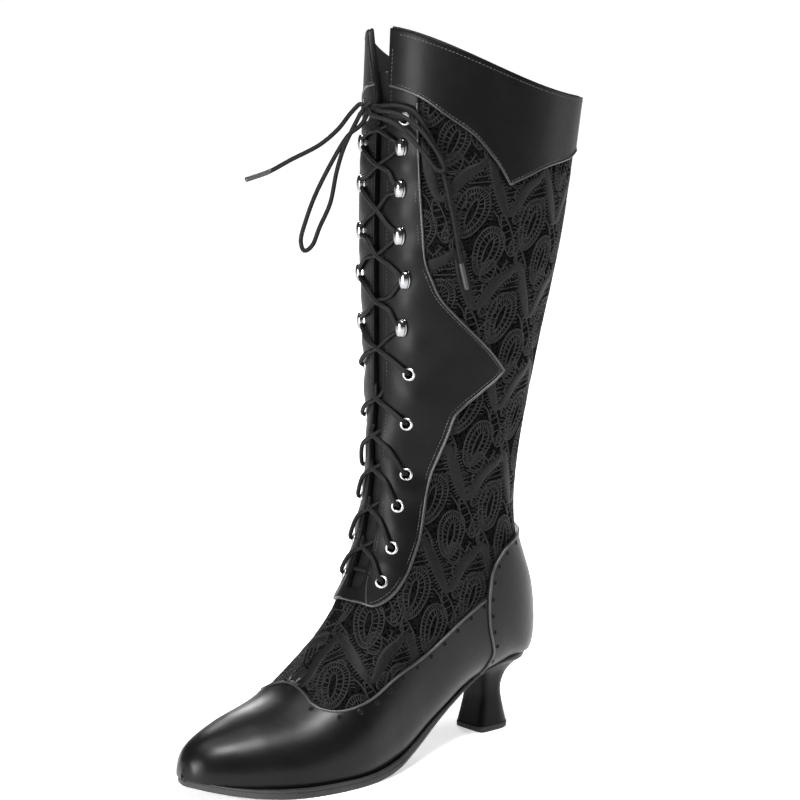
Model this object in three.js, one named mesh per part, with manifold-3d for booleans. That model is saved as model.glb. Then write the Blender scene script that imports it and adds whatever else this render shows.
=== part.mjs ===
// Victorian lace up boot, left foot. Millimetres, +Z up, toe towards -Y, wearer's left towards +X.
// The origin is the centre of the heel tip's flat bottom.
import * as THREE from "three";
import { mergeVertices } from "three/addons/utils/BufferGeometryUtils.js";
import Module from "manifold-3d";

// Driving sizes
const FOOT_LENGTH = 238;
const BALL_WIDTH = 80;
const INSTEP_HEIGHT = 160;
const HEEL_HEIGHT = 46;
const BOOT_HEIGHT = 403;
const CALF_WIDTH = 102;
const HEEL_BACK = 24;
const HEEL_TIP_WIDTH = 23;
const HEEL_TIP_THICKNESS = 3.4;
const SOLE_THICKNESS = 4.5;
const INSOLE_THICKNESS = 2.5;
const UPPER_WALL = 1.8;
const LEATHER = 1.2;
const TONGUE_THICKNESS = 1.5;
const TONGUE_WIDTH = 52;
const THROAT_WIDTH = 8.4;
const GAP = 0.3;
const LACE_DIAMETER = 2.5;
const EYELET_RADIUS = 3.7;
const EYELET_HOLE = 2.2;
const HOOK_WIDTH = 6;
const HOOK_HEIGHT = 4.2;

// Layers, measured outwards from the boot's reference surface
const LEATHER_OUT = 0.5;
const LEATHER_IN = LEATHER_OUT - LEATHER;
const FABRIC_OUT = LEATHER_IN - GAP;
const FABRIC_IN = FABRIC_OUT - UPPER_WALL;
const TONGUE_OUT = FABRIC_IN - GAP;
const TONGUE_IN = TONGUE_OUT - TONGUE_THICKNESS;
const COUNTER_OUT = LEATHER_OUT + 0.4;
const CUFF_OUT = LEATHER_OUT + 0.3;

// Foot and ankle sections, toe first. Forward distances are shares of FOOT_LENGTH, fronts' heights of
// INSTEP_HEIGHT, soles' heights of HEEL_HEIGHT, half widths and centres of BALL_WIDTH.
const FOOT_ROWS = [
  {
    front: 0.998, frontUp: 0.097, back: 0.998, backUp: 0.210,
    lateral: 0.015, medial: 0.015, widest: 0.45, round: 2.2, centre: -0.044,
  },
  {
    front: 0.985, frontUp: 0.150, back: 0.987, backUp: 0.135,
    lateral: 0.110, medial: 0.110, widest: 0.42, round: 3.0, centre: -0.044,
  },
  {
    front: 0.945, frontUp: 0.197, back: 0.955, backUp: 0.080,
    lateral: 0.210, medial: 0.210, widest: 0.38, round: 3.6, centre: -0.044,
  },
  {
    front: 0.851, frontUp: 0.241, back: 0.876, backUp: 0.020,
    lateral: 0.350, medial: 0.338, widest: 0.34, round: 4.0, centre: -0.044,
  },
  {
    front: 0.721, frontUp: 0.294, back: 0.756, backUp: -0.020,
    lateral: 0.480, medial: 0.444, widest: 0.30, round: 4.2, centre: -0.031,
  },
  {
    front: 0.620, frontUp: 0.403, back: 0.626, backUp: -0.020,
    lateral: 0.525, medial: 0.472, widest: 0.30, round: 4.4, centre: -0.013,
  },
  {
    front: 0.539, frontUp: 0.550, back: 0.492, backUp: 0.050,
    lateral: 0.475, medial: 0.400, widest: 0.32, round: 3.8, centre: 0,
  },
  {
    front: 0.483, frontUp: 0.716, back: 0.370, backUp: 0.360,
    lateral: 0.435, medial: 0.384, widest: 0.34, round: 3.5, centre: 0,
  },
  {
    front: 0.456, frontUp: 0.875, back: 0.239, backUp: 0.735,
    lateral: 0.431, medial: 0.406, widest: 0.36, round: 3.3, centre: 0,
  },
  {
    front: 0.445, frontUp: 0.991, back: 0.105, backUp: 0.895,
    lateral: 0.425, medial: 0.413, widest: 0.38, round: 3.1, centre: 0,
  },
  {
    front: 0.445, frontUp: 1.061, back: 0.012, backUp: 0.960,
    lateral: 0.413, medial: 0.405, widest: 0.40, round: 2.6, centre: 0,
  },
  {
    front: 0.446, frontUp: 1.119, back: -0.006, backUp: 1.641,
    lateral: 0.400, medial: 0.395, widest: 0.42, round: 2.2, centre: 0,
  },
  {
    front: 0.438, frontUp: 1.181, back: 0.043, backUp: 2.511,
    lateral: 0.404, medial: 0.396, widest: 0.46, round: 2.1, centre: 0,
  },
];

// Shaft sections. Forward distances are shares of FOOT_LENGTH, heights of the way up from the last foot
// section to BOOT_HEIGHT, half widths of CALF_WIDTH; dip is how far the section sags at mid length, a
// share of BOOT_HEIGHT.
const SHAFT_ROWS = [
  {
    front: 0.433, frontUp: 0.066, back: 0.042, backUp: 0.148,
    lateral: 0.353, medial: 0.343, widest: 0.48, round: 2.1, dip: 0,
  },
  {
    front: 0.432, frontUp: 0.245, back: -0.004, backUp: 0.350,
    lateral: 0.417, medial: 0.408, widest: 0.49, round: 2.1, dip: 0,
  },
  {
    front: 0.429, frontUp: 0.580, back: -0.074, backUp: 0.589,
    lateral: 0.488, medial: 0.481, widest: 0.50, round: 2.1, dip: 0,
  },
  {
    front: 0.410, frontUp: 0.998, back: -0.128, backUp: 0.843,
    lateral: 0.505, medial: 0.502, widest: 0.50, round: 2.1, dip: 0.021,
  },
];

// Sole outline: forward share of FOOT_LENGTH, lateral and medial edges as shares of BALL_WIDTH
const SOLE_OUTLINE = [
  { at: 0.997, lateral: -0.015, medial: -0.072 },
  { at: 0.985, lateral: 0.065, medial: -0.150 },
  { at: 0.964, lateral: 0.153, medial: -0.225 },
  { at: 0.927, lateral: 0.258, medial: -0.322 },
  { at: 0.881, lateral: 0.350, medial: -0.400 },
  { at: 0.833, lateral: 0.424, medial: -0.450 },
  { at: 0.776, lateral: 0.483, medial: -0.484 },
  { at: 0.706, lateral: 0.527, medial: -0.497 },
  { at: 0.630, lateral: 0.538, medial: -0.480 },
  { at: 0.559, lateral: 0.515, medial: -0.435 },
  { at: 0.496, lateral: 0.477, medial: -0.387 },
  { at: 0.433, lateral: 0.432, medial: -0.352 },
  { at: 0.370, lateral: 0.392, medial: -0.330 },
  { at: 0.311, lateral: 0.360, medial: -0.320 },
  { at: 0.248, lateral: 0.338, medial: -0.318 },
  { at: 0.193, lateral: 0.325, medial: -0.318 },
  { at: 0.130, lateral: 0.318, medial: -0.315 },
  { at: 0.080, lateral: 0.300, medial: -0.298 },
  { at: 0.045, lateral: 0.250, medial: -0.248 },
  { at: 0.022, lateral: 0.165, medial: -0.163 },
  { at: 0.013, lateral: 0.060, medial: -0.060 },
];

// Sole side view: forward share of FOOT_LENGTH, underside's height as a share of HEEL_HEIGHT,
// thickness as a share of SOLE_THICKNESS
const SOLE_SIDE = [
  { at: 1.050, under: 0.230, thick: 0.95 },
  { at: 1.000, under: 0.176, thick: 0.95 },
  { at: 0.966, under: 0.135, thick: 0.96 },
  { at: 0.929, under: 0.090, thick: 0.98 },
  { at: 0.882, under: 0.048, thick: 1.00 },
  { at: 0.832, under: 0.020, thick: 1.00 },
  { at: 0.777, under: 0.004, thick: 1.00 },
  { at: 0.735, under: 0, thick: 1.00 },
  { at: 0.630, under: 0, thick: 1.00 },
  { at: 0.580, under: 0.009, thick: 0.98 },
  { at: 0.538, under: 0.035, thick: 0.93 },
  { at: 0.496, under: 0.090, thick: 0.86 },
  { at: 0.450, under: 0.204, thick: 0.80 },
  { at: 0.419, under: 0.289, thick: 0.77 },
  { at: 0.391, under: 0.378, thick: 0.74 },
  { at: 0.361, under: 0.470, thick: 0.71 },
  { at: 0.330, under: 0.559, thick: 0.68 },
  { at: 0.298, under: 0.646, thick: 0.65 },
  { at: 0.265, under: 0.739, thick: 0.60 },
  { at: 0.223, under: 0.845, thick: 0.52 },
  { at: 0.193, under: 0.893, thick: 0.46 },
  { at: 0.164, under: 0.930, thick: 0.43 },
  { at: 0.105, under: 0.975, thick: 0.42 },
  { at: 0.059, under: 1.000, thick: 0.42 },
  { at: 0.000, under: 1.022, thick: 0.42 },
  { at: -0.100, under: 1.050, thick: 0.42 },
];

// Heel sections: height as a share of HEEL_HEIGHT, half width of HEEL_TIP_WIDTH, front and back
// distances from the heel tip's centre as shares of HEEL_TIP_WIDTH
const HEEL_ROWS = [
  { up: 0.082, half: 0.495, front: 0.520, back: 0.530 },
  { up: 0.260, half: 0.450, front: 0.430, back: 0.435 },
  { up: 0.460, half: 0.415, front: 0.350, back: 0.360 },
  { up: 0.600, half: 0.435, front: 0.370, back: 0.385 },
  { up: 0.740, half: 0.530, front: 0.480, back: 0.520 },
  { up: 0.860, half: 0.730, front: 0.720, back: 0.730 },
  { up: 0.950, half: 0.960, front: 1.000, back: 0.870 },
  { up: 1.160, half: 1.070, front: 1.250, back: 0.920 },
];

// Panel edges in the side view: forward share of FOOT_LENGTH, height share of INSTEP_HEIGHT
const VAMP_EDGE = [
  { at: 0.674, up: 0.336 },
  { at: 0.684, up: 0.326 },
  { at: 0.693, up: 0.310 },
  { at: 0.701, up: 0.281 },
  { at: 0.691, up: 0.266 },
  { at: 0.667, up: 0.260 },
  { at: 0.628, up: 0.268 },
  { at: 0.570, up: 0.296 },
  { at: 0.501, up: 0.345 },
  { at: 0.410, up: 0.397 },
  { at: 0.314, up: 0.478 },
  { at: 0.228, up: 0.541 },
  { at: 0.140, up: 0.600 },
];
const COUNTER_EDGE = [
  { at: 0.020, up: 0.755 },
  { at: 0.077, up: 0.743 },
  { at: 0.115, up: 0.732 },
  { at: 0.153, up: 0.712 },
  { at: 0.185, up: 0.671 },
  { at: 0.204, up: 0.634 },
  { at: 0.214, up: 0.579 },
  { at: 0.220, up: 0.524 },
  { at: 0.218, up: 0.441 },
  { at: 0.206, up: 0.380 },
  { at: 0.196, up: 0.335 },
  { at: 0.205, up: 0.285 },
  { at: 0.228, up: 0.235 },
];

// Eyestay outline: section number and half width as a share of BALL_WIDTH, measured round the boot
const EYESTAY_EDGE = [
  { at: 6.15, out: 0.050 },
  { at: 6.25, out: 0.163 },
  { at: 6.40, out: 0.256 },
  { at: 6.87, out: 0.363 },
  { at: 7.50, out: 0.433 },
  { at: 8.20, out: 0.465 },
  { at: 9.13, out: 0.463 },
  { at: 9.90, out: 0.470 },
  { at: 10.70, out: 0.483 },
  { at: 11.76, out: 0.510 },
  { at: 12.90, out: 0.567 },
  { at: 13.24, out: 0.646 },
  { at: 13.52, out: 0.793 },
  { at: 13.68, out: 0.905 },
  { at: 13.79, out: 0.975 },
  { at: 13.90, out: 0.885 },
  { at: 14.00, out: 0.790 },
  { at: 14.18, out: 0.605 },
  { at: 14.32, out: 0.479 },
  { at: 14.46, out: 0.415 },
  { at: 14.60, out: 0.368 },
  { at: 14.82, out: 0.350 },
  { at: 15.33, out: 0.308 },
  { at: 15.60, out: 0.288 },
];

// Cuff's lower edge: share of the way from the front centre round to the back, and section number
const CUFF_EDGE = [
  { round: 0.000, at: 15.665 },
  { round: 0.070, at: 15.655 },
  { round: 0.139, at: 15.630 },
  { round: 0.212, at: 15.570 },
  { round: 0.299, at: 15.500 },
  { round: 0.358, at: 15.400 },
  { round: 0.392, at: 15.330 },
  { round: 0.428, at: 15.230 },
  { round: 0.491, at: 15.320 },
  { round: 0.576, at: 15.430 },
  { round: 0.704, at: 15.530 },
  { round: 0.805, at: 15.600 },
  { round: 1.000, at: 15.620 },
];

// Lacing rows from the bottom up: section number and distance from the front as a share of BALL_WIDTH
const LACING = [
  { at: 6.83, out: 0.228, kind: "eyelet" },
  { at: 7.54, out: 0.238, kind: "eyelet" },
  { at: 8.52, out: 0.224, kind: "eyelet" },
  { at: 10.08, out: 0.276, kind: "eyelet" },
  { at: 12.37, out: 0.234, kind: "eyelet" },
  { at: 13.49, out: 0.246, kind: "eyelet" },
  { at: 14.02, out: 0.190, kind: "hook" },
  { at: 14.43, out: 0.216, kind: "hook" },
  { at: 14.74, out: 0.176, kind: "hook" },
  { at: 15.06, out: 0.176, kind: "hook" },
  { at: 15.32, out: 0.176, kind: "hook" },
  { at: 15.49, out: 0.195, kind: "eyelet" },
];
// The medial hooks sit this much further from the front, a share of BALL_WIDTH
const MEDIAL_HOOK_OUT = 0.045;

// Bow: the knot's place and the cords' courses from it, in shares of CALF_WIDTH. Cords marked free
// hang in front of the boot, the others lie on the shaft.
const KNOT = { forward: 0.4512, up: 0.895, side: -0.026 };

// Section table in millimetres
const ankle = FOOT_ROWS[FOOT_ROWS.length - 1];
const ankleFront = ankle.frontUp * INSTEP_HEIGHT;
const ankleBack = ankle.backUp * HEEL_HEIGHT;
const SECTIONS = FOOT_ROWS.map((row) => [
  row.front * FOOT_LENGTH,
  row.frontUp * INSTEP_HEIGHT,
  row.back * FOOT_LENGTH,
  row.backUp * HEEL_HEIGHT,
  row.lateral * BALL_WIDTH,
  row.medial * BALL_WIDTH,
  row.widest,
  row.round,
  row.centre * BALL_WIDTH,
  0,
]).concat(SHAFT_ROWS.map((row) => [
  row.front * FOOT_LENGTH,
  ankleFront + row.frontUp * (BOOT_HEIGHT - ankleFront),
  row.back * FOOT_LENGTH,
  ankleBack + row.backUp * (BOOT_HEIGHT - ankleBack),
  row.lateral * CALF_WIDTH,
  row.medial * CALF_WIDTH,
  row.widest,
  row.round,
  0,
  row.dip * BOOT_HEIGHT,
]));
const LAST = SECTIONS.length - 1;

function smooth(a, b, c, d, t) {
  const linear = c - a;
  const square = 2 * a - 5 * b + 4 * c - d;
  const cube = 3 * b - a - 3 * c + d;
  return 0.5 * (2 * b + linear * t + square * t * t + cube * t * t * t);
}

// Values of the section at number s, smoothly between the table's rows
function sectionAt(s) {
  const at = Math.min(Math.max(s, 0), LAST);
  const i = Math.min(Math.floor(at), LAST - 1);
  const t = at - i;
  const b = SECTIONS[i];
  const c = SECTIONS[i + 1];
  return b.map((value, k) => {
    const before = i > 0 ? SECTIONS[i - 1][k] : 2 * value - c[k];
    const after = i < LAST - 1 ? SECTIONS[i + 2][k] : 2 * c[k] - value;
    return smooth(before, value, c[k], after, t);
  });
}

// Point of the reference surface: s is the section number, turn the angle from the front centre
// line, positive towards the lateral side and pi at the sole or the back
function basePoint(s, turn) {
  const [frontF, frontZ, backF, backZ, lateral, medial, widest, round, centre, dip] = sectionAt(s);
  const height = Math.hypot(frontF - backF, frontZ - backZ);
  const alongF = (frontF - backF) / height;
  const alongZ = (frontZ - backZ) / height;
  const c = Math.cos(turn);
  const q = Math.sin(turn);
  const power = 2 / (c > 0 ? 2 : round);
  const lower = height * widest;
  const reach = c > 0 ? height - lower : lower;
  const up = lower + reach * Math.sign(c) * Math.abs(c) ** power;
  const half = q >= 0 ? lateral : medial;
  const x = centre + Math.sign(q) * half * Math.abs(q) ** power;
  const sag = dip * Math.sin(Math.PI * Math.min(Math.max(up / height, 0), 1));
  return new THREE.Vector3(x, HEEL_BACK - (backF + alongF * up), backZ + alongZ * up - sag);
}

function pointOn(s, turn) {
  if (s <= LAST) return basePoint(s, turn);
  const end = basePoint(LAST, turn);
  const step = end.clone().sub(basePoint(LAST - 0.05, turn)).multiplyScalar(1 / 0.05);
  return end.addScaledVector(step, s - LAST);
}

function normalOn(s, turn) {
  const small = 0.002;
  const s0 = Math.max(s - small, 0);
  const around = pointOn(s, turn + small).sub(pointOn(s, turn - small));
  const along = pointOn(s0 + 2 * small, turn).sub(pointOn(s0, turn));
  return around.cross(along).normalize();
}

function surface(s, turn, offset) {
  return pointOn(s, turn).addScaledVector(normalOn(s, turn), offset);
}

// Lengths round one side of section s, used to place things by their distance from the front
const ROUND_STEPS = 90;
const roundTables = new Map();
function roundTable(s, side) {
  const key = `${s.toFixed(5)} ${side}`;
  if (!roundTables.has(key)) {
    const lengths = [0];
    let last = pointOn(s, 0);
    for (let i = 1; i <= ROUND_STEPS; i += 1) {
      const next = pointOn(s, (side * Math.PI * i) / ROUND_STEPS);
      lengths.push(lengths[i - 1] + next.distanceTo(last));
      last = next;
    }
    roundTables.set(key, lengths);
  }
  return roundTables.get(key);
}

function turnAt(s, distance) {
  const side = distance < 0 ? -1 : 1;
  const lengths = roundTable(s, side);
  const wanted = Math.min(Math.abs(distance), lengths[ROUND_STEPS]);
  let i = 1;
  while (i < ROUND_STEPS && lengths[i] < wanted) i += 1;
  const part = (wanted - lengths[i - 1]) / (lengths[i] - lengths[i - 1]);
  return (side * Math.PI * (i - 1 + part)) / ROUND_STEPS;
}

function halfRound(s) {
  return roundTable(s, 1)[ROUND_STEPS];
}

function lookUp(table, key, value, wanted) {
  if (wanted <= table[0][key]) return table[0][value];
  for (let i = 1; i < table.length; i += 1) {
    if (wanted <= table[i][key]) {
      const low = table[i - 1];
      const high = table[i];
      const part = (wanted - low[key]) / (high[key] - low[key]);
      return low[value] + part * (high[value] - low[value]);
    }
  }
  return table[table.length - 1][value];
}

// Solids
const wasm = await Module();
wasm.setup();

function toSolid(geometry) {
  const plain = new THREE.BufferGeometry();
  plain.setAttribute("position", geometry.getAttribute("position").clone());
  if (geometry.index) plain.setIndex(geometry.index.clone());
  const merged = mergeVertices(plain, 1e-5);
  const kept = [];
  const index = merged.index.array;
  for (let i = 0; i < index.length; i += 3) {
    const [a, b, c] = [index[i], index[i + 1], index[i + 2]];
    if (a !== b && b !== c && c !== a) kept.push(a, b, c);
  }
  return new wasm.Manifold(new wasm.Mesh({
    numProp: 3,
    vertProperties: new Float32Array(merged.getAttribute("position").array),
    triVerts: new Uint32Array(kept),
  }));
}

function toGeometry(solid) {
  const mesh = solid.getMesh();
  const geometry = new THREE.BufferGeometry();
  const positions = new Float32Array(mesh.numVert * 3);
  for (let i = 0; i < mesh.numVert; i += 1) {
    for (let k = 0; k < 3; k += 1) positions[3 * i + k] = mesh.vertProperties[mesh.numProp * i + k];
  }
  geometry.setAttribute("position", new THREE.BufferAttribute(positions, 3));
  geometry.setIndex(Array.from(mesh.triVerts));
  geometry.computeVertexNormals();
  return geometry;
}

function fromPoints(points, triangles) {
  const geometry = new THREE.BufferGeometry();
  const flat = new Float32Array(points.length * 3);
  points.forEach((p, i) => flat.set([p.x, p.y, p.z], 3 * i));
  geometry.setAttribute("position", new THREE.BufferAttribute(flat, 3));
  geometry.setIndex(triangles);
  return geometry;
}

// Closed solid through rings of points, first to last, with flat ends
function ringSolid(rings) {
  const points = rings.flat();
  const count = rings[0].length;
  const triangles = [];
  for (let i = 0; i < rings.length - 1; i += 1) {
    for (let j = 0; j < count; j += 1) {
      const a = i * count + j;
      const b = i * count + ((j + 1) % count);
      triangles.push(a, b, b + count, a, b + count, a + count);
    }
  }
  const total = (ring) => ring.reduce((sum, p) => sum.add(p), new THREE.Vector3());
  const middle = (ring) => total(ring).multiplyScalar(1 / count);
  const first = points.push(middle(rings[0])) - 1;
  const last = points.push(middle(rings[rings.length - 1])) - 1;
  const base = (rings.length - 1) * count;
  for (let j = 0; j < count; j += 1) {
    const next = (j + 1) % count;
    triangles.push(first, next, j, last, base + j, base + next);
  }
  return fromPoints(points, triangles);
}

const COLUMNS = 20;
const ROWS = [
  0, 0.4, 1, 1.5, 2, 2.5, 3, 3.5, 4, 4.5, 5, 5.5, 6, 6.5, 7, 7.5, 8, 8.6, 9.2, 10, 10.7, 11.4, 12, 12.5,
  13, 13.5, 14, 14.5, 15, 16,
];

// The boot's own form at one offset, closed at both ends
function form(offset, from, to) {
  const rows = [from].concat(ROWS.filter((s) => s > from + 0.1 && s < to - 0.01), [to]);
  const rings = rows.map((s) => {
    const ring = [];
    for (let j = 0; j < COLUMNS; j += 1) ring.push(surface(s, (2 * Math.PI * j) / COLUMNS, offset));
    return ring;
  });
  return toSolid(ringSolid(rings));
}

// Closed slab over a grid of places on the surface; place(i, j) gives its section and turn
function slab(place, rowCount, columnCount, inner, outer) {
  const points = [];
  const wide = columnCount + 1;
  const sheet = wide * (rowCount + 1);
  for (const offset of [outer, inner]) {
    for (let i = 0; i <= rowCount; i += 1) {
      for (let j = 0; j <= columnCount; j += 1) {
        const [s, turn] = place(i, j);
        points.push(surface(s, turn, offset));
      }
    }
  }
  const triangles = [];
  const wall = (a, b) => triangles.push(b, a, a + sheet, b, a + sheet, b + sheet);
  for (let i = 0; i < rowCount; i += 1) {
    for (let j = 0; j < columnCount; j += 1) {
      const a = i * wide + j;
      const b = a + 1;
      const c = b + wide;
      const d = a + wide;
      triangles.push(a, b, c, a, c, d);
      triangles.push(a + sheet, c + sheet, b + sheet, a + sheet, d + sheet, c + sheet);
    }
  }
  const top = rowCount * wide;
  for (let j = 0; j < columnCount; j += 1) {
    wall(j, j + 1);
    wall(top + j + 1, top + j);
  }
  for (let i = 0; i < rowCount; i += 1) {
    wall(i * wide + columnCount, (i + 1) * wide + columnCount);
    wall((i + 1) * wide, i * wide);
  }
  return toSolid(fromPoints(points, triangles));
}

// Prisms: an outline in the side view carried across the boot, one in the front view carried
// forward, and one in the plan carried up
function sidePrism(outline, halfWidth) {
  const shape = new THREE.Shape(outline.map(([y, z]) => new THREE.Vector2(y, z)));
  const geometry = new THREE.ExtrudeGeometry(shape, { depth: 2 * halfWidth, bevelEnabled: false });
  const turn = new THREE.Matrix4().set(0, 0, 1, -halfWidth, 1, 0, 0, 0, 0, 1, 0, 0, 0, 0, 0, 1);
  return toSolid(geometry.applyMatrix4(turn));
}

function frontPrism(outline, fromY, toY) {
  const shape = new THREE.Shape(outline.map(([x, z]) => new THREE.Vector2(x, z)));
  const geometry = new THREE.ExtrudeGeometry(shape, { depth: toY - fromY, bevelEnabled: false });
  const turn = new THREE.Matrix4().set(1, 0, 0, 0, 0, 0, -1, toY, 0, 1, 0, 0, 0, 0, 0, 1);
  return toSolid(geometry.applyMatrix4(turn));
}

function planPrism(outline, fromZ, toZ) {
  const shape = new THREE.Shape(outline.map(([x, y]) => new THREE.Vector2(x, y)));
  const geometry = new THREE.ExtrudeGeometry(shape, { depth: toZ - fromZ, bevelEnabled: false });
  return toSolid(geometry.translate(0, 0, fromZ));
}

const unite = (list) => wasm.Manifold.union(list);

// Sole
const forwardY = (share) => HEEL_BACK - share * FOOT_LENGTH;
const underside = SOLE_SIDE.map((row) => [forwardY(row.at), row.under * HEEL_HEIGHT]);
const soleTop = (lift) => SOLE_SIDE.map((row) => [
  forwardY(row.at),
  row.under * HEEL_HEIGHT + row.thick * SOLE_THICKNESS + lift,
]);
const outline = SOLE_OUTLINE.map((row) => [row.lateral * BALL_WIDTH, forwardY(row.at)]).concat(
  SOLE_OUTLINE.map((row) => [row.medial * BALL_WIDTH, forwardY(row.at)]).reverse(),
);
const HALF_SPAN = BALL_WIDTH;
const PLAN_BELOW = -10;
const PLAN_ABOVE = HEEL_HEIGHT * 2;
const soleBand = (low, high) => sidePrism(low.concat(high.slice().reverse()), HALF_SPAN);
const outsole = planPrism(outline, PLAN_BELOW, PLAN_ABOVE).intersect(soleBand(underside, soleTop(0)));

const firstY = soleTop(0)[0][0];
const lastY = soleTop(0)[SOLE_SIDE.length - 1][0];
const belowUpper = sidePrism(
  [[firstY, -BALL_WIDTH], [lastY, -BALL_WIDTH]].concat(soleTop(GAP).reverse()),
  HALF_SPAN,
);

// Insole lies on the sole inside the upper
const insole = form(TONGUE_OUT, 1.1, 12)
  .intersect(soleBand(soleTop(GAP), soleTop(GAP + INSOLE_THICKNESS)));

// Heel and its tip: nearly flat in front, rounder behind
const HEEL_POINTS = 22;
const HEEL_FRONT_POWER = 2 / 7;
const HEEL_BACK_POWER = 2 / 2.5;
function heelRing(row, z, grow) {
  const half = row.half * HEEL_TIP_WIDTH + grow;
  const front = row.front * HEEL_TIP_WIDTH + grow;
  const back = row.back * HEEL_TIP_WIDTH + grow;
  const ring = [];
  for (let j = 0; j < HEEL_POINTS; j += 1) {
    const angle = (2 * Math.PI * j) / HEEL_POINTS;
    const c = Math.cos(angle);
    const q = Math.sin(angle);
    const power = c > 0 ? HEEL_FRONT_POWER : HEEL_BACK_POWER;
    const y = c > 0 ? -front * Math.abs(c) ** power : back * Math.abs(c) ** power;
    ring.push(new THREE.Vector3(Math.sign(q) * half * Math.abs(q) ** power, y, z));
  }
  return ring;
}
const heelRings = [];
for (let i = 0; i < HEEL_ROWS.length - 1; i += 1) {
  const parts = i < HEEL_ROWS.length - 2 ? 2 : 1;
  for (let k = 0; k < parts; k += 1) {
    const t = k / parts;
    const row = {};
    for (const key of ["up", "half", "front", "back"]) {
      const a = HEEL_ROWS[Math.max(i - 1, 0)][key];
      const b = HEEL_ROWS[i][key];
      const c = HEEL_ROWS[i + 1][key];
      const d = HEEL_ROWS[Math.min(i + 2, HEEL_ROWS.length - 1)][key];
      row[key] = smooth(a, b, c, d, t);
    }
    heelRings.push(heelRing(row, row.up * HEEL_HEIGHT, 0));
  }
}
const heelTopRow = HEEL_ROWS[HEEL_ROWS.length - 1];
heelRings.push(heelRing(heelTopRow, heelTopRow.up * HEEL_HEIGHT, 0));
const heelTop = sidePrism(
  underside.map(([y, z]) => [y, z - GAP]).concat([[lastY, HEEL_HEIGHT * 3], [firstY, HEEL_HEIGHT * 3]]),
  HALF_SPAN,
);
const heelPlan = planPrism(outline, PLAN_BELOW, PLAN_ABOVE);
const heel = toSolid(ringSolid(heelRings)).subtract(heelTop).intersect(heelPlan);
const tipRow = HEEL_ROWS[0];
const heelTip = toSolid(ringSolid([
  heelRing(tipRow, 0, 0),
  heelRing(tipRow, 0.5, 0.4),
  heelRing(tipRow, HEEL_TIP_THICKNESS, 0.3),
]));

// Upper: lace fabric body with its lining, open at the collar, the throat and underneath. The medial
// flap is drawn aside over the bow, so the throat opens there.
const outerForm = form(FABRIC_OUT, 0.5, LAST);
const innerForm = form(FABRIC_IN, 1, LAST + 0.3);
const throatHalf = THROAT_WIDTH / 2;
const throatBottom = 0.61 * INSTEP_HEIGHT;
const throatWide = throatBottom + 4;
const throatTop = BOOT_HEIGHT * 1.1;
const flapShares = [[0.905, 1], [0.95, 2.6], [1, 5], [1.1, 5.6]];
const flap = flapShares.map(([up, wide]) => [-throatHalf * wide, up * BOOT_HEIGHT]).reverse();
const throat = frontPrism([
  [-throatHalf * 1.2, throatBottom],
  [throatHalf * 1.2, throatBottom],
  [throatHalf * 1.55, throatWide],
  [throatHalf * 1.4, 0.85 * INSTEP_HEIGHT],
  [throatHalf, 1.1 * INSTEP_HEIGHT],
  [throatHalf, throatTop],
].concat(flap, [
  [-throatHalf, 1.1 * INSTEP_HEIGHT],
  [-throatHalf * 1.4, 0.85 * INSTEP_HEIGHT],
  [-throatHalf * 1.55, throatWide],
]), forwardY(0.75), forwardY(0.345));

// Holes for the eyelets
const RING_SIDES = 10;
const HOLE_RADIUS = EYELET_HOLE + 0.6;
const HOLE_DEPTH = 12;
const HOLE_SIDES = 6;
const holes = [];
const lacingPlaces = [];
for (const row of LACING) {
  for (const side of [1, -1]) {
    const share = row.kind === "hook" && side < 0 ? row.out + MEDIAL_HOOK_OUT : row.out;
    const turn = turnAt(row.at, side * share * BALL_WIDTH);
    const normal = normalOn(row.at, turn);
    const at = pointOn(row.at, turn);
    lacingPlaces.push({ row, side, turn, normal, at });
    if (row.kind === "eyelet") {
      const hole = new THREE.CylinderGeometry(HOLE_RADIUS, HOLE_RADIUS, HOLE_DEPTH, HOLE_SIDES);
      hole.applyQuaternion(new THREE.Quaternion().setFromUnitVectors(new THREE.Vector3(0, 1, 0), normal));
      hole.translate(at.x, at.y, at.z);
      holes.push(toSolid(hole));
    }
  }
}
const eyeletHoles = unite(holes);
const upper = outerForm.subtract(innerForm).subtract(belowUpper).subtract(throat).subtract(eyeletHoles);

// Leather over the fabric
const keepOut = form(LEATHER_IN, 0.3, LAST + 0.3);
const leather = form(LEATHER_OUT, 0, LAST).subtract(keepOut);
const counterLeather = form(COUNTER_OUT, 5, LAST).subtract(keepOut);
const edgePoints = (table) => table.map((row) => [forwardY(row.at), row.up * INSTEP_HEIGHT]);
const vampEdge = edgePoints(VAMP_EDGE);
const peak = vampEdge[0];
const aboveVamp = sidePrism(
  vampEdge.concat([
    [forwardY(-0.25), 0.8 * INSTEP_HEIGHT],
    [forwardY(-0.25), BOOT_HEIGHT * 1.2],
    [peak[0], BOOT_HEIGHT * 1.2],
  ]),
  HALF_SPAN,
);
const counterEdge = edgePoints(COUNTER_EDGE);
const behind = forwardY(-0.4);
const counterArea = (grow) => sidePrism(
  counterEdge.map(([y, z]) => [y - grow, z + grow]).concat([
    [counterEdge[counterEdge.length - 1][0], 0],
    [behind, 0],
    [behind, counterEdge[0][1] + grow],
  ]),
  HALF_SPAN,
);
const vamp = leather.subtract(aboveVamp).subtract(counterArea(GAP)).subtract(belowUpper);
const counter = counterLeather.intersect(counterArea(0)).subtract(belowUpper);

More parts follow.
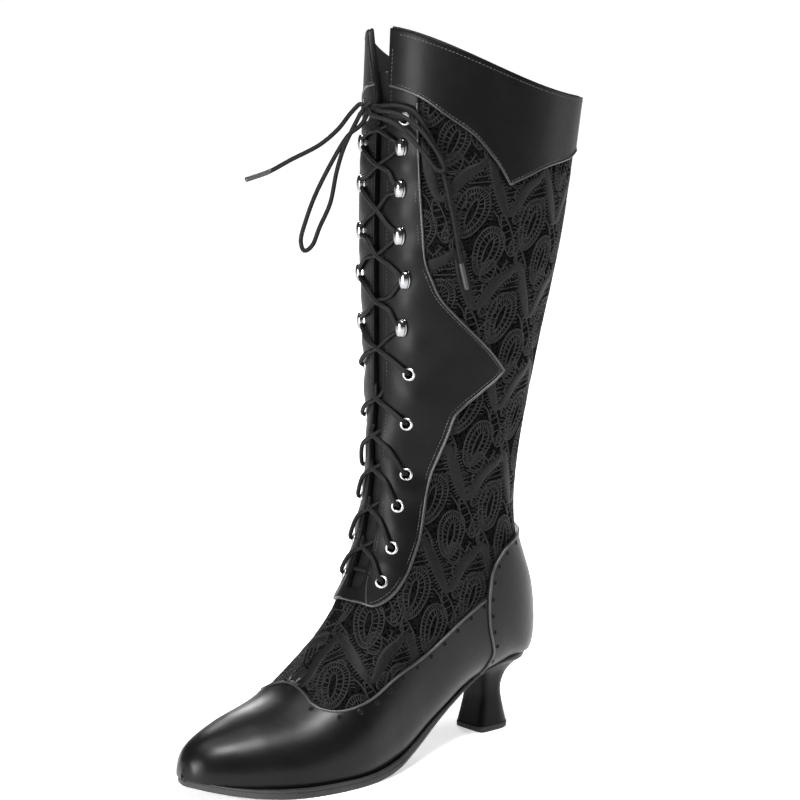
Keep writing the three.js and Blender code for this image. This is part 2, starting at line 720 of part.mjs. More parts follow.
// Cuff: a slab from its pointed lower edge to the collar, from one side of the throat to the other
const CUFF_SHARES = [
  0.021, 0.07, 0.139, 0.212, 0.299, 0.358, 0.392, 0.428, 0.46, 0.491, 0.576, 0.64, 0.704, 0.805, 0.9,
];
const cuffRounds = CUFF_SHARES.concat([1], CUFF_SHARES.slice().reverse().map((share) => 2 - share));
const cuffLow = (share) => lookUp(CUFF_EDGE, "round", "at", share);
const CUFF_STEPS = 3;
function cuffPlace(i, j) {
  const round = cuffRounds[j];
  const share = round > 1 ? 2 - round : round;
  const low = cuffLow(share);
  const s = low + ((LAST - low) * i) / CUFF_STEPS;
  const turn = turnAt(s, share * halfRound(s) * (round > 1 ? -1 : 1));
  return [s, round > 1 ? turn + 2 * Math.PI : turn];
}
const cuff = slab(cuffPlace, CUFF_STEPS, cuffRounds.length - 1, FABRIC_IN, CUFF_OUT)
  .subtract(keepOut)
  .subtract(throat);

// Eyestay: both facings and their wings, joined below the throat
const EYESTAY_SHARES = [-1, -0.8, -0.6, -0.4, -0.2, 0, 0.2, 0.4, 0.6, 0.8, 1];
const eyestayTop = EYESTAY_EDGE[EYESTAY_EDGE.length - 1];
function eyestayPlace(i, j) {
  const row = EYESTAY_EDGE[i];
  const distance = EYESTAY_SHARES[j] * row.out * BALL_WIDTH;
  if (row !== eyestayTop) return [row.at, turnAt(row.at, distance)];
  const s = cuffLow(Math.abs(distance) / halfRound(row.at)) - 0.008;
  return [s, turnAt(s, distance)];
}
const eyestayRows = EYESTAY_EDGE.length - 1;
const eyestay = slab(eyestayPlace, eyestayRows, EYESTAY_SHARES.length - 1, FABRIC_IN, LEATHER_OUT)
  .subtract(keepOut)
  .subtract(throat)
  .subtract(eyeletHoles);

// Tongue behind the lacing
const TONGUE_ROWS = [5.9, 6.2, 6.6, 7, 7.5, 8, 8.6, 10, 12, 13, 14, 15, 15.62, 15.72, 15.74];
const TONGUE_COLUMNS = 6;
const tongueTop = TONGUE_ROWS[TONGUE_ROWS.length - 1];
function tonguePlace(i, j) {
  const s = TONGUE_ROWS[i];
  const low = Math.min((s - TONGUE_ROWS[0]) / 0.8, 1);
  const high = Math.min((tongueTop - s) / 0.12, 1);
  const lowShare = 0.55 + 0.45 * Math.sqrt(low);
  const highShare = 0.8 + 0.2 * Math.sqrt(Math.max(high, 0));
  const half = (TONGUE_WIDTH / 2) * lowShare * highShare;
  return [s, turnAt(s, half * (2 * (j / TONGUE_COLUMNS) - 1))];
}
const tongue = slab(tonguePlace, TONGUE_ROWS.length - 1, TONGUE_COLUMNS, TONGUE_IN, FABRIC_OUT)
  .intersect(form(TONGUE_OUT, 3, LAST + 0.2));

// Eyelets and hooks
const SEAT = 0.45;
const eyeletProfile = [
  new THREE.Vector2(EYELET_HOLE, 0),
  new THREE.Vector2(EYELET_RADIUS, 0),
  new THREE.Vector2(EYELET_RADIUS - 0.2, 0.55),
  new THREE.Vector2(EYELET_HOLE + 0.4, 0.95),
  new THREE.Vector2(EYELET_HOLE, 0),
];
function eyeletAt(place) {
  const ring = new THREE.LatheGeometry(eyeletProfile, RING_SIDES);
  ring.applyQuaternion(new THREE.Quaternion().setFromUnitVectors(new THREE.Vector3(0, 1, 0), place.normal));
  const at = place.at.clone().addScaledVector(place.normal, LEATHER_OUT + SEAT);
  return ring.translate(at.x, at.y, at.z);
}

const HOOK_PROFILE = [
  [-2.9, 0], [3.1, 0], [3.1, 0.8], [-1.6, 0.9], [-1.75, 2.2], [-1.1, 3.1], [0, 3.4], [1.3, 3.2],
  [2.5, 2.6], [2.9, 3.3], [1.6, 4.1], [0, 4.3], [-1.7, 3.9], [-2.7, 2.5],
];
function hookAt(place) {
  const scale = HOOK_HEIGHT / 4.3;
  const shape = new THREE.Shape(HOOK_PROFILE.map(([a, h]) => new THREE.Vector2(a * scale, h * scale)));
  const hook = new THREE.ExtrudeGeometry(shape, { depth: HOOK_WIDTH, bevelEnabled: false });
  hook.translate(0, 0, -HOOK_WIDTH / 2);
  const up = pointOn(place.row.at + 0.01, place.turn).sub(place.at).normalize();
  const out = new THREE.Vector3().crossVectors(place.normal, up).normalize();
  const away = place.side > 0 ? out.negate() : out;
  const third = new THREE.Vector3().crossVectors(away, place.normal);
  const at = place.at.clone().addScaledVector(place.normal, LEATHER_OUT + SEAT);
  const frame = new THREE.Matrix4().makeBasis(away, place.normal, third).setPosition(at);
  return hook.applyMatrix4(frame);
}

// Cords
class Course extends THREE.Curve {
  constructor(points) {
    super();
    this.points = points;
  }

  getPoint(t, target = new THREE.Vector3()) {
    const along = Math.min(Math.max(t, 0), 1) * (this.points.length - 1);
    const i = Math.min(Math.floor(along), this.points.length - 2);
    return target.lerpVectors(this.points[i], this.points[i + 1], along - i);
  }

  getUtoTmapping(u) {
    return u;
  }
}
const LACE_SIDES = 8;
function cordAlong(points, radius) {
  const circle = new THREE.Shape();
  for (let i = 0; i < LACE_SIDES; i += 1) {
    const angle = (2 * Math.PI * i) / LACE_SIDES;
    const corner = [radius * Math.cos(angle), radius * Math.sin(angle)];
    if (i === 0) circle.moveTo(...corner);
    else circle.lineTo(...corner);
  }
  circle.closePath();
  return toSolid(new THREE.ExtrudeGeometry(circle, {
    steps: points.length - 1,
    extrudePath: new Course(points),
    bevelEnabled: false,
  }));
}

const laceRadius = LACE_DIAMETER / 2;
const LACE_CLEAR = 0.75;
const CENTRE_RISE = 0.5;
const CROSS_OVER = 0.25;
const laceLift = LEATHER_OUT + laceRadius + LACE_CLEAR;
const turnOut = 0.118 * BALL_WIDTH;
const laceOn = (s, distance, lift) => surface(s, turnAt(s, distance), lift);
const LACE_TOP = 15.535;
const laceCentre = (s, over) => laceOn(s, 0, laceLift + CENTRE_RISE + over);
const laceSide = (row, side) => laceOn(row.at, side * turnOut, laceLift);
function laceCourse(firstSide, over) {
  const points = [laceSide(LACING[0], -1)];
  if (firstSide > 0) points.push(laceCentre(LACING[0].at, 0), laceSide(LACING[0], 1));
  let side = firstSide;
  for (let i = 1; i < LACING.length; i += 1) {
    points.push(laceCentre(0.5 * (LACING[i - 1].at + LACING[i].at), over));
    side = -side;
    points.push(laceSide(LACING[i], side));
  }
  points.push(laceCentre(LACE_TOP, 0));
  return points;
}
const laceCrossings = cordAlong(laceCourse(1, CROSS_OVER), laceRadius)
  .add(cordAlong(laceCourse(-1, 0), laceRadius));

const knotAt = new THREE.Vector3(
  KNOT.side * CALF_WIDTH,
  HEEL_BACK - KNOT.forward * FOOT_LENGTH,
  KNOT.up * BOOT_HEIGHT,
);
const knotSize = 1.7 * LACE_DIAMETER;
const knotShape = new THREE.SphereGeometry(knotSize, 10, 7);
knotShape.scale(1, 0.8, 0.85).translate(knotAt.x, knotAt.y, knotAt.z);
const knot = toSolid(knotShape);

// Free courses: how far out and down from the knot, as shares of CALF_WIDTH, in the upright plane
// that leaves the knot forward and to the medial side
const END_LEFT = [
  [0.050, 0.014], [0.100, -0.040], [0.165, -0.122], [0.265, -0.205], [0.410, -0.280], [0.530, -0.345],
  [0.650, -0.387],
];
const LOOP_LEFT = [
  [0.010, -0.046], [0.045, -0.100], [0.115, -0.160], [0.200, -0.300], [0.285, -0.470], [0.340, -0.620],
  [0.362, -0.710], [0.345, -0.765], [0.300, -0.735], [0.262, -0.640], [0.205, -0.510], [0.172, -0.350],
  [0.135, -0.225], [0.088, -0.122], [0.048, -0.044],
];
// Courses on the shaft: section number and distance from the front, a share of BALL_WIDTH
const END_RIGHT = [
  [15.545, 0.030], [15.555, 0.090], [15.565, 0.170], [15.55, 0.270], [15.47, 0.350], [15.33, 0.439],
  [15.17, 0.491], [14.91, 0.553], [14.65, 0.596], [14.44, 0.640],
];
const LOOP_RIGHT = [
  [15.497, 0.020], [15.487, 0.070], [15.47, 0.155], [15.42, 0.240], [15.345, 0.330], [15.27, 0.410],
  [15.235, 0.448], [15.30, 0.436], [15.385, 0.390], [15.455, 0.325], [15.505, 0.240], [15.525, 0.160],
  [15.523, 0.085],
];

const freeOut = new THREE.Vector3(-0.66, -0.75, 0);
function freeCourse(rows) {
  return rows.map(([out, up]) => knotAt.clone()
    .addScaledVector(freeOut, out * CALF_WIDTH)
    .add(new THREE.Vector3(0, 0, up * CALF_WIDTH)));
}
const ON_SHAFT = CUFF_OUT + laceRadius + 0.45;
const KNOT_RISE = 4.5;
const KNOT_REACH = 0.3;
const LOOP_LIFT = 3.2;
function shaftCourse(rows, lift) {
  return rows.map(([s, out]) => {
    const rise = Math.max(0, 1 - out / KNOT_REACH);
    return laceOn(s, out * BALL_WIDTH, ON_SHAFT + lift + KNOT_RISE * rise);
  });
}
const endLeft = cordAlong(freeCourse(END_LEFT), laceRadius);
const loopLeft = cordAlong(freeCourse(LOOP_LEFT), laceRadius);
const endRight = cordAlong(shaftCourse(END_RIGHT, 0), laceRadius);
const loopRight = cordAlong(shaftCourse(LOOP_RIGHT, LOOP_LIFT), laceRadius);

// Materials
function material(color, roughness, metalness) {
  return new THREE.MeshStandardMaterial({ color, roughness, metalness });
}
const leatherMaterial = material(0x242323, 0.5, 0);
const fabricMaterial = material(0x151515, 0.85, 0);
const soleMaterial = material(0x1d1c1c, 0.7, 0);
const metalMaterial = material(0xc9cacc, 0.22, 1);
const laceMaterial = material(0x101010, 0.8, 0);
const liningMaterial = material(0x2b2927, 0.8, 0);

const boot = new THREE.Group();
function add(name, shape, look) {
  const geometry = shape.isBufferGeometry ? shape : toGeometry(shape);
  const mesh = new THREE.Mesh(geometry, look);
  mesh.name = name;
  boot.add(mesh);
}
add("outsole", outsole, soleMaterial);
add("insole", insole, liningMaterial);
add("heel", heel, leatherMaterial);
add("heel_tip", heelTip, soleMaterial);
add("upper", upper, fabricMaterial);
add("vamp", vamp, leatherMaterial);
add("counter", counter, leatherMaterial);
add("eyestay", eyestay, leatherMaterial);
add("cuff", cuff, leatherMaterial);
add("tongue", tongue, leatherMaterial);
for (const place of lacingPlaces) {
  const side = place.side > 0 ? "left" : "right";
  const number = LACING.indexOf(place.row) + 1;
  if (place.row.kind === "eyelet") add(`eyelet_${side}_${number}`, toSolid(eyeletAt(place)), metalMaterial);
  else add(`hook_${side}_${number}`, toSolid(hookAt(place)), metalMaterial);
}
add("lace_crossings", laceCrossings, laceMaterial);
add("lace_knot", knot, laceMaterial);
add("lace_loop_left", loopLeft, laceMaterial);
add("lace_loop_right", loopRight, laceMaterial);
add("lace_end_left", endLeft, laceMaterial);
add("lace_end_right", endRight, laceMaterial);

export default boot;
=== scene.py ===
# Victorian lace up boot, left foot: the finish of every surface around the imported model.
# Lengths are millimetres until a mesh is made. +Z is up, the toe is towards -Y, +X is the wearer's left.
import math

import bpy
import numpy as np
from mathutils import Matrix, Vector


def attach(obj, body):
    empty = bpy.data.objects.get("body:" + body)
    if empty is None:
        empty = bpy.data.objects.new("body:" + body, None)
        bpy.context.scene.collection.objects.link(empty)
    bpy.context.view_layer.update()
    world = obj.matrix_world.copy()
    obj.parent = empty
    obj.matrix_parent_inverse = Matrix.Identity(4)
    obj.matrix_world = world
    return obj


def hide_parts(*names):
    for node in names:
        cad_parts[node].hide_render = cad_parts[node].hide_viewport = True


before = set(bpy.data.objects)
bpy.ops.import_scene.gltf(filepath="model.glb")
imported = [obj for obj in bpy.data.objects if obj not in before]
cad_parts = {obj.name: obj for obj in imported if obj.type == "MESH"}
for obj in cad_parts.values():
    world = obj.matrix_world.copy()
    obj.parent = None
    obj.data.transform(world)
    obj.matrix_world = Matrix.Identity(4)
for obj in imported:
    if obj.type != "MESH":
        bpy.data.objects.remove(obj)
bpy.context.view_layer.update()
MM = 0.001

# Driving sizes
FOOT_LENGTH = 238
BALL_WIDTH = 80
INSTEP_HEIGHT = 160
HEEL_HEIGHT = 46
BOOT_HEIGHT = 403
CALF_WIDTH = 102
HEEL_BACK = 24
HEEL_TIP_WIDTH = 23
HEEL_TIP_THICKNESS = 3.4
SOLE_THICKNESS = 4.5
TONGUE_WIDTH = 52
THROAT_WIDTH = 8.4
GAP = 0.3
LACE_DIAMETER = 2.5
EYELET_RADIUS = 3.7
EYELET_HOLE = 2.2

# Layers, measured outwards from the boot's reference surface
LEATHER_OUT = 0.5
FABRIC_OUT = -1.0
FABRIC_IN = -2.8
TONGUE_OUT = -3.1
TONGUE_IN = -4.6
COUNTER_OUT = 0.9
CUFF_OUT = 0.8

# Foot and ankle sections, toe first: front and back distances forward (shares of FOOT_LENGTH), fronts'
# heights (of INSTEP_HEIGHT), soles' heights (of HEEL_HEIGHT), lateral and medial half widths (of
# BALL_WIDTH), height of the widest place, roundness of the lower half, centre (of BALL_WIDTH)
FOOT_ROWS = [
    # front, front up, back, back up, lateral, medial, widest, round, centre
    (0.998, 0.097, 0.998, 0.210, 0.015, 0.015, 0.45, 2.2, -0.044),
    (0.985, 0.150, 0.987, 0.135, 0.110, 0.110, 0.42, 3.0, -0.044),
    (0.945, 0.197, 0.955, 0.080, 0.210, 0.210, 0.38, 3.6, -0.044),
    (0.851, 0.241, 0.876, 0.020, 0.350, 0.338, 0.34, 4.0, -0.044),
    (0.721, 0.294, 0.756, -0.020, 0.480, 0.444, 0.30, 4.2, -0.031),
    (0.620, 0.403, 0.626, -0.020, 0.525, 0.472, 0.30, 4.4, -0.013),
    (0.539, 0.550, 0.492, 0.050, 0.475, 0.400, 0.32, 3.8, 0.0),
    (0.483, 0.716, 0.370, 0.360, 0.435, 0.384, 0.34, 3.5, 0.0),
    (0.456, 0.875, 0.239, 0.735, 0.431, 0.406, 0.36, 3.3, 0.0),
    (0.445, 0.991, 0.105, 0.895, 0.425, 0.413, 0.38, 3.1, 0.0),
    (0.445, 1.061, 0.012, 0.960, 0.413, 0.405, 0.40, 2.6, 0.0),
    (0.446, 1.119, -0.006, 1.641, 0.400, 0.395, 0.42, 2.2, 0.0),
    (0.438, 1.181, 0.043, 2.511, 0.404, 0.396, 0.46, 2.1, 0.0),
]
# Shaft sections: heights are shares of the way up from the last foot section to BOOT_HEIGHT, half
# widths of CALF_WIDTH, dip a share of BOOT_HEIGHT
SHAFT_ROWS = [
    # front, front up, back, back up, lateral, medial, widest, round, dip
    (0.433, 0.066, 0.042, 0.148, 0.353, 0.343, 0.48, 2.1, 0.0),
    (0.432, 0.245, -0.004, 0.350, 0.417, 0.408, 0.49, 2.1, 0.0),
    (0.429, 0.580, -0.074, 0.589, 0.488, 0.481, 0.50, 2.1, 0.0),
    (0.410, 0.998, -0.128, 0.843, 0.505, 0.502, 0.50, 2.1, 0.021),
]
# Sole outline: forward share of FOOT_LENGTH, lateral and medial edges as shares of BALL_WIDTH
SOLE_OUTLINE = [
    (0.997, -0.015, -0.072),
    (0.985, 0.065, -0.150),
    (0.964, 0.153, -0.225),
    (0.927, 0.258, -0.322),
    (0.881, 0.350, -0.400),
    (0.833, 0.424, -0.450),
    (0.776, 0.483, -0.484),
    (0.706, 0.527, -0.497),
    (0.630, 0.538, -0.480),
    (0.559, 0.515, -0.435),
    (0.496, 0.477, -0.387),
    (0.433, 0.432, -0.352),
    (0.370, 0.392, -0.330),
    (0.311, 0.360, -0.320),
    (0.248, 0.338, -0.318),
    (0.193, 0.325, -0.318),
    (0.130, 0.318, -0.315),
    (0.080, 0.300, -0.298),
    (0.045, 0.250, -0.248),
    (0.022, 0.165, -0.163),
    (0.013, 0.060, -0.060),
]
# Sole side view: forward share, underside's height (of HEEL_HEIGHT), thickness (of SOLE_THICKNESS)
SOLE_SIDE = [
    (1.050, 0.230, 0.95),
    (1.000, 0.176, 0.95),
    (0.966, 0.135, 0.96),
    (0.929, 0.090, 0.98),
    (0.882, 0.048, 1.00),
    (0.832, 0.020, 1.00),
    (0.777, 0.004, 1.00),
    (0.735, 0.0, 1.00),
    (0.630, 0.0, 1.00),
    (0.580, 0.009, 0.98),
    (0.538, 0.035, 0.93),
    (0.496, 0.090, 0.86),
    (0.450, 0.204, 0.80),
    (0.419, 0.289, 0.77),
    (0.391, 0.378, 0.74),
    (0.361, 0.470, 0.71),
    (0.330, 0.559, 0.68),
    (0.298, 0.646, 0.65),
    (0.265, 0.739, 0.60),
    (0.223, 0.845, 0.52),
    (0.193, 0.893, 0.46),
    (0.164, 0.930, 0.43),
    (0.105, 0.975, 0.42),
    (0.059, 1.000, 0.42),
    (0.000, 1.022, 0.42),
    (-0.100, 1.050, 0.42),
]
# Heel sections: height (of HEEL_HEIGHT), half width, front and back distances (of HEEL_TIP_WIDTH)
HEEL_ROWS = [
    (0.082, 0.495, 0.520, 0.530),
    (0.260, 0.450, 0.430, 0.435),
    (0.460, 0.415, 0.350, 0.360),
    (0.600, 0.435, 0.370, 0.385),
    (0.740, 0.530, 0.480, 0.520),
    (0.860, 0.730, 0.720, 0.730),
    (0.950, 0.960, 1.000, 0.870),
    (1.160, 1.070, 1.250, 0.920),
]
# Panel edges in the side view: forward share of FOOT_LENGTH, height share of INSTEP_HEIGHT
VAMP_EDGE = [
    (0.674, 0.336),
    (0.684, 0.326),
    (0.693, 0.310),
    (0.701, 0.281),
    (0.691, 0.266),
    (0.667, 0.260),
    (0.628, 0.268),
    (0.570, 0.296),
    (0.501, 0.345),
    (0.410, 0.397),
    (0.314, 0.478),
    (0.228, 0.541),
    (0.140, 0.600),
]
COUNTER_EDGE = [
    (0.020, 0.755),
    (0.077, 0.743),
    (0.115, 0.732),
    (0.153, 0.712),
    (0.185, 0.671),
    (0.204, 0.634),
    (0.214, 0.579),
    (0.220, 0.524),
    (0.218, 0.441),
    (0.206, 0.380),
    (0.196, 0.335),
    (0.205, 0.285),
    (0.228, 0.235),
]
# Eyestay outline: section number, half width as a share of BALL_WIDTH; the wing's point splits it
EYESTAY_LOW = [
    (6.15, 0.050),
    (6.25, 0.163),
    (6.40, 0.256),
    (6.87, 0.363),
    (7.50, 0.433),
    (8.20, 0.465),
    (9.13, 0.463),
    (9.90, 0.470),
    (10.70, 0.483),
    (11.76, 0.510),
    (12.90, 0.567),
    (13.24, 0.646),
    (13.52, 0.793),
    (13.68, 0.905),
    (13.79, 0.975),
]
EYESTAY_HIGH = [
    (13.79, 0.975),
    (13.90, 0.885),
    (14.00, 0.790),
    (14.18, 0.605),
    (14.32, 0.479),
    (14.46, 0.415),
    (14.60, 0.368),
    (14.82, 0.350),
    (15.33, 0.308),
    (15.60, 0.288),
    (15.90, 0.280),
]
# Cuff's lower edge: share of the way from the front centre to the back, section number
CUFF_FRONT = [
    (0.000, 15.665),
    (0.070, 15.655),
    (0.139, 15.630),
    (0.212, 15.570),
    (0.299, 15.500),
    (0.358, 15.400),
    (0.392, 15.330),
    (0.428, 15.230),
]
CUFF_BACK = [
    (0.428, 15.230),
    (0.491, 15.320),
    (0.576, 15.430),
    (0.704, 15.530),
    (0.805, 15.600),
    (1.000, 15.620),
]
# Lacing rows from the bottom up: section number, distance from the front as a share of BALL_WIDTH
EYELETS = [(6.83, 0.228), (7.54, 0.238), (8.52, 0.224), (10.08, 0.276), (12.37, 0.234), (13.49, 0.246)]
HOOKS = [(14.02, 0.190), (14.43, 0.216), (14.74, 0.176), (15.06, 0.176), (15.32, 0.176)]
# The medial hooks sit this much further from the front, a share of BALL_WIDTH
MEDIAL_HOOK_OUT = 0.045
TOP_EYELET = (15.49, 0.195)
LACING = EYELETS + HOOKS + [TOP_EYELET]

# Camera, set on the photograph: its place in metres, its focal length in the photograph's pixels
CAMERA_PLACE = (1.3191, -1.2159, 0.54063)
CAMERA_AZIMUTH = math.radians(48.859)
CAMERA_TILT = math.radians(11.061)
FOCAL_PIXELS = 3250.42
PHOTO_WIDTH = 800
SENSOR_WIDTH = 36


# Shape of the boot
def section_table():
    foot = np.array(FOOT_ROWS, float)
    shaft = np.array(SHAFT_ROWS, float)
    scale = (FOOT_LENGTH, INSTEP_HEIGHT, FOOT_LENGTH, HEEL_HEIGHT, BALL_WIDTH, BALL_WIDTH, 1, 1, BALL_WIDTH)
    foot = np.hstack([foot * scale, np.zeros((len(foot), 1))])
    front_up = foot[-1, 1] + shaft[:, 1] * (BOOT_HEIGHT - foot[-1, 1])
    back_up = foot[-1, 3] + shaft[:, 3] * (BOOT_HEIGHT - foot[-1, 3])
    columns = [
        shaft[:, 0] * FOOT_LENGTH,
        front_up,
        shaft[:, 2] * FOOT_LENGTH,
        back_up,
        shaft[:, 4] * CALF_WIDTH,
        shaft[:, 5] * CALF_WIDTH,
        shaft[:, 6],
        shaft[:, 7],
        np.zeros(len(shaft)),
        shaft[:, 8] * BOOT_HEIGHT,
    ]
    return np.vstack([foot, np.column_stack(columns)])


SECTIONS = section_table()
LAST = len(SECTIONS) - 1
PADDED = np.vstack([2 * SECTIONS[0] - SECTIONS[1], SECTIONS, 2 * SECTIONS[-1] - SECTIONS[-2]])


def smooth(a, b, c, d, t):
    square = 2 * a - 5 * b + 4 * c - d
    cube = 3 * b - a - 3 * c + d
    return 0.5 * (2 * b + (c - a) * t + square * t * t + cube * t * t * t)


def unit(vectors):
    return vectors / np.linalg.norm(vectors, axis=-1, keepdims=True)


def walked(line):
    """Distance along a line at each of its points."""
    return np.concatenate([[0], np.cumsum(np.linalg.norm(np.diff(line, axis=0), axis=-1))])


def wrap(turn):
    """The same turn, between half a round one way and half a round the other."""
    return (turn + np.pi) % (2 * np.pi) - np.pi


def through(rows, parts=8):
    """Smooth line through the rows of a table."""
    rows = np.array(rows, float)
    padded = np.vstack([2 * rows[0] - rows[1], rows, 2 * rows[-1] - rows[-2]])
    made = []
    for i in range(len(rows) - 1):
        for k in range(parts):
            made.append(smooth(padded[i], padded[i + 1], padded[i + 2], padded[i + 3], k / parts))
    made.append(rows[-1])
    return np.array(made)


def sections_at(s):
    at = np.clip(s, 0, LAST)
    i = np.minimum(np.floor(at).astype(int), LAST - 1)
    return smooth(PADDED[i], PADDED[i + 1], PADDED[i + 2], PADDED[i + 3], (at - i)[..., None])


def base_point(s, turn):
    s, turn = np.broadcast_arrays(np.asarray(s, float), np.asarray(turn, float))
    row = np.moveaxis(sections_at(s), -1, 0)
    front_f, front_z, back_f, back_z, lateral, medial, widest, rounded, centre, dip = row
    height = np.hypot(front_f - back_f, front_z - back_z)
    along_f = (front_f - back_f) / height
    along_z = (front_z - back_z) / height
    c = np.cos(turn)
    q = np.sin(turn)
    power = 2 / np.where(c > 0, 2, rounded)
    lower = height * widest
    reach = np.where(c > 0, height - lower, lower)
    up = lower + reach * np.sign(c) * np.abs(c) ** power
    half = np.where(q >= 0, lateral, medial)
    x = centre + np.sign(q) * half * np.abs(q) ** power
    sag = dip * np.sin(np.pi * np.clip(up / height, 0, 1))
    return np.stack([x, HEEL_BACK - (back_f + along_f * up), back_z + along_z * up - sag], axis=-1)


def point_on(s, turn):
    s, turn = np.broadcast_arrays(np.asarray(s, float), np.asarray(turn, float))
    inside = base_point(np.minimum(s, LAST), turn)
    beyond = np.maximum(s - LAST, 0)[..., None]
    if not beyond.any():
        return inside
    step = (base_point(LAST, turn) - base_point(LAST - 0.05, turn)) / 0.05
    return inside + beyond * step


# Small steps along the surface, for its directions
SMALL = 0.002
STEP_UP = 0.01


def normal_on(s, turn):
    s = np.asarray(s, float)
    low = np.maximum(s - SMALL, 0)
    around = point_on(s, turn + SMALL) - point_on(s, turn - SMALL)
    along = point_on(low + 2 * SMALL, turn) - point_on(low, turn)
    return unit(np.cross(around, along))


def surface(s, turn, offset):
    offset = np.asarray(offset, float)
    return point_on(s, turn) + normal_on(s, turn) * offset[..., None]


def frame_on(s, turn):
    """A point of the surface, its normal and the way up along the surface."""
    at = point_on(s, turn)
    normal = normal_on(s, turn)
    up = point_on(s + STEP_UP, turn) - at
    return at, normal, unit(up - normal * np.dot(up, normal))


# Distances round the boot from the front centre line
ROUND_S = np.linspace(0, LAST, 321)
ROUND_TURN = np.linspace(0, np.pi, 121)


def round_lengths(side):
    points = point_on(ROUND_S[:, None], side * ROUND_TURN[None, :])
    steps = np.linalg.norm(np.diff(points, axis=1), axis=-1)
    return np.hstack([np.zeros((len(ROUND_S), 1)), np.cumsum(steps, axis=1)])


ROUND = {1: round_lengths(1), -1: round_lengths(-1)}


def table_row(side, s):
    at = min(max(s, 0), LAST) / LAST * (len(ROUND_S) - 1)
    i = min(int(at), len(ROUND_S) - 2)
    return ROUND[side][i] * (1 - (at - i)) + ROUND[side][i + 1] * (at - i)


def girth(s, turn):
    """Signed distance round the boot from the front, and the half girth on that side."""
    s, turn = np.broadcast_arrays(np.asarray(s, float), np.asarray(turn, float))
    wrapped = wrap(turn)
    at = np.clip(s, 0, LAST) / LAST * (len(ROUND_S) - 1)
    i = np.minimum(at.astype(int), len(ROUND_S) - 2)
    u = at - i
    across = np.abs(wrapped) / np.pi * (len(ROUND_TURN) - 1)
    j = np.minimum(across.astype(int), len(ROUND_TURN) - 2)
    v = across - j
    distance = np.zeros(s.shape)
    half = np.zeros(s.shape)
    for side in (1, -1):
        table = ROUND[side]
        low = table[i, j] * (1 - v) + table[i, j + 1] * v
        high = table[i + 1, j] * (1 - v) + table[i + 1, j + 1] * v
        mine = (wrapped >= 0) == (side > 0)
        distance = np.where(mine, side * (low * (1 - u) + high * u), distance)
        half = np.where(mine, table[i, -1] * (1 - u) + table[i + 1, -1] * u, half)
    return distance, half


def turn_at(s, distance):
    side = -1 if distance < 0 else 1
    return side * float(np.interp(abs(distance), table_row(side, s), ROUND_TURN))


def turns_at(s, distance):
    return np.array([turn_at(a, b) for a, b in zip(np.ravel(s), np.ravel(distance))])


# Plan and side view of the sole
forward_y = lambda share: HEEL_BACK - np.asarray(share) * FOOT_LENGTH
SOLE_LINE = np.array(SOLE_SIDE)[::-1]


def sole_under(y):
    share = (HEEL_BACK - np.asarray(y)) / FOOT_LENGTH
    return np.interp(share, SOLE_LINE[:, 0], SOLE_LINE[:, 1]) * HEEL_HEIGHT


def sole_top(y):
    share = (HEEL_BACK - np.asarray(y)) / FOOT_LENGTH
    return sole_under(y) + np.interp(share, SOLE_LINE[:, 0], SOLE_LINE[:, 2]) * SOLE_THICKNESS


# Distances to the panels' edges: above nought inside a panel
def edge_points(table, parts=8):
    rows = through(table, parts)
    return np.column_stack([forward_y(rows[:, 0]), rows[:, 1] * INSTEP_HEIGHT])


def line_distance(y, z, line):
    best = np.full(y.shape, 1e9)
    for (ay, az), (by, bz) in zip(line[:-1], line[1:]):
        length = (by - ay) ** 2 + (bz - az) ** 2 + 1e-12
        part = np.clip(((y - ay) * (by - ay) + (z - az) * (bz - az)) / length, 0, 1)
        away = np.hypot(y - ay - part * (by - ay), z - az - part * (bz - az))
        best = np.minimum(best, away)
    return best


def inside_outline(y, z, outline):
    inside = np.zeros(y.shape, bool)
    for (ay, az), (by, bz) in zip(outline, np.roll(outline, -1, axis=0)):
        if az == bz:
            continue
        crosses = (az > z) != (bz > z)
        inside ^= crosses & (y < (by - ay) * (z - az) / (bz - az) + ay)
    return inside


VAMP_LINE = np.vstack([edge_points(VAMP_EDGE[:4]), edge_points(VAMP_EDGE[3:])[1:]])
VAMP_ABOVE = np.vstack([
    VAMP_LINE,
    [forward_y(-0.25), 0.8 * INSTEP_HEIGHT],
    [forward_y(-0.25), 2 * BOOT_HEIGHT],
    [VAMP_LINE[0, 0], 2 * BOOT_HEIGHT],
])
COUNTER_LINE = edge_points(COUNTER_EDGE)
COUNTER_AREA = np.vstack([
    COUNTER_LINE,
    [COUNTER_LINE[-1, 0], -BALL_WIDTH],
    [forward_y(-0.4), -BALL_WIDTH],
    [forward_y(-0.4), COUNTER_LINE[0, 1]],
])
THROAT_Z = np.array([0.61, 0.635, 0.85, 1.1, 2.279, 2.393, 2.519, 2.77]) * INSTEP_HEIGHT
THROAT_LATERAL = np.array([1.2, 1.55, 1.4, 1.0, 1.0, 1.0, 1.0, 1.0]) * THROAT_WIDTH / 2
THROAT_MEDIAL = np.array([1.2, 1.55, 1.4, 1.0, 1.0, 2.6, 5.0, 5.6]) * THROAT_WIDTH / 2
# Millimetres from one section to the next, at the cuff and at the eyestay's lower end
MM_PER_SECTION = 88
MM_PER_LOW_SECTION = 18
FAR = 99.0


def d_vamp(p):
    away = line_distance(p[..., 1], p[..., 2], VAMP_LINE)
    return np.where(inside_outline(p[..., 1], p[..., 2], VAMP_ABOVE), -away, away)


def d_counter(p):
    line = np.vstack([[forward_y(-0.4), COUNTER_LINE[0, 1]], COUNTER_LINE])
    away = line_distance(p[..., 1], p[..., 2], line)
    return np.where(inside_outline(p[..., 1], p[..., 2], COUNTER_AREA), away, -away)


def d_sole(p):
    return p[..., 2] - sole_top(p[..., 1]) - GAP


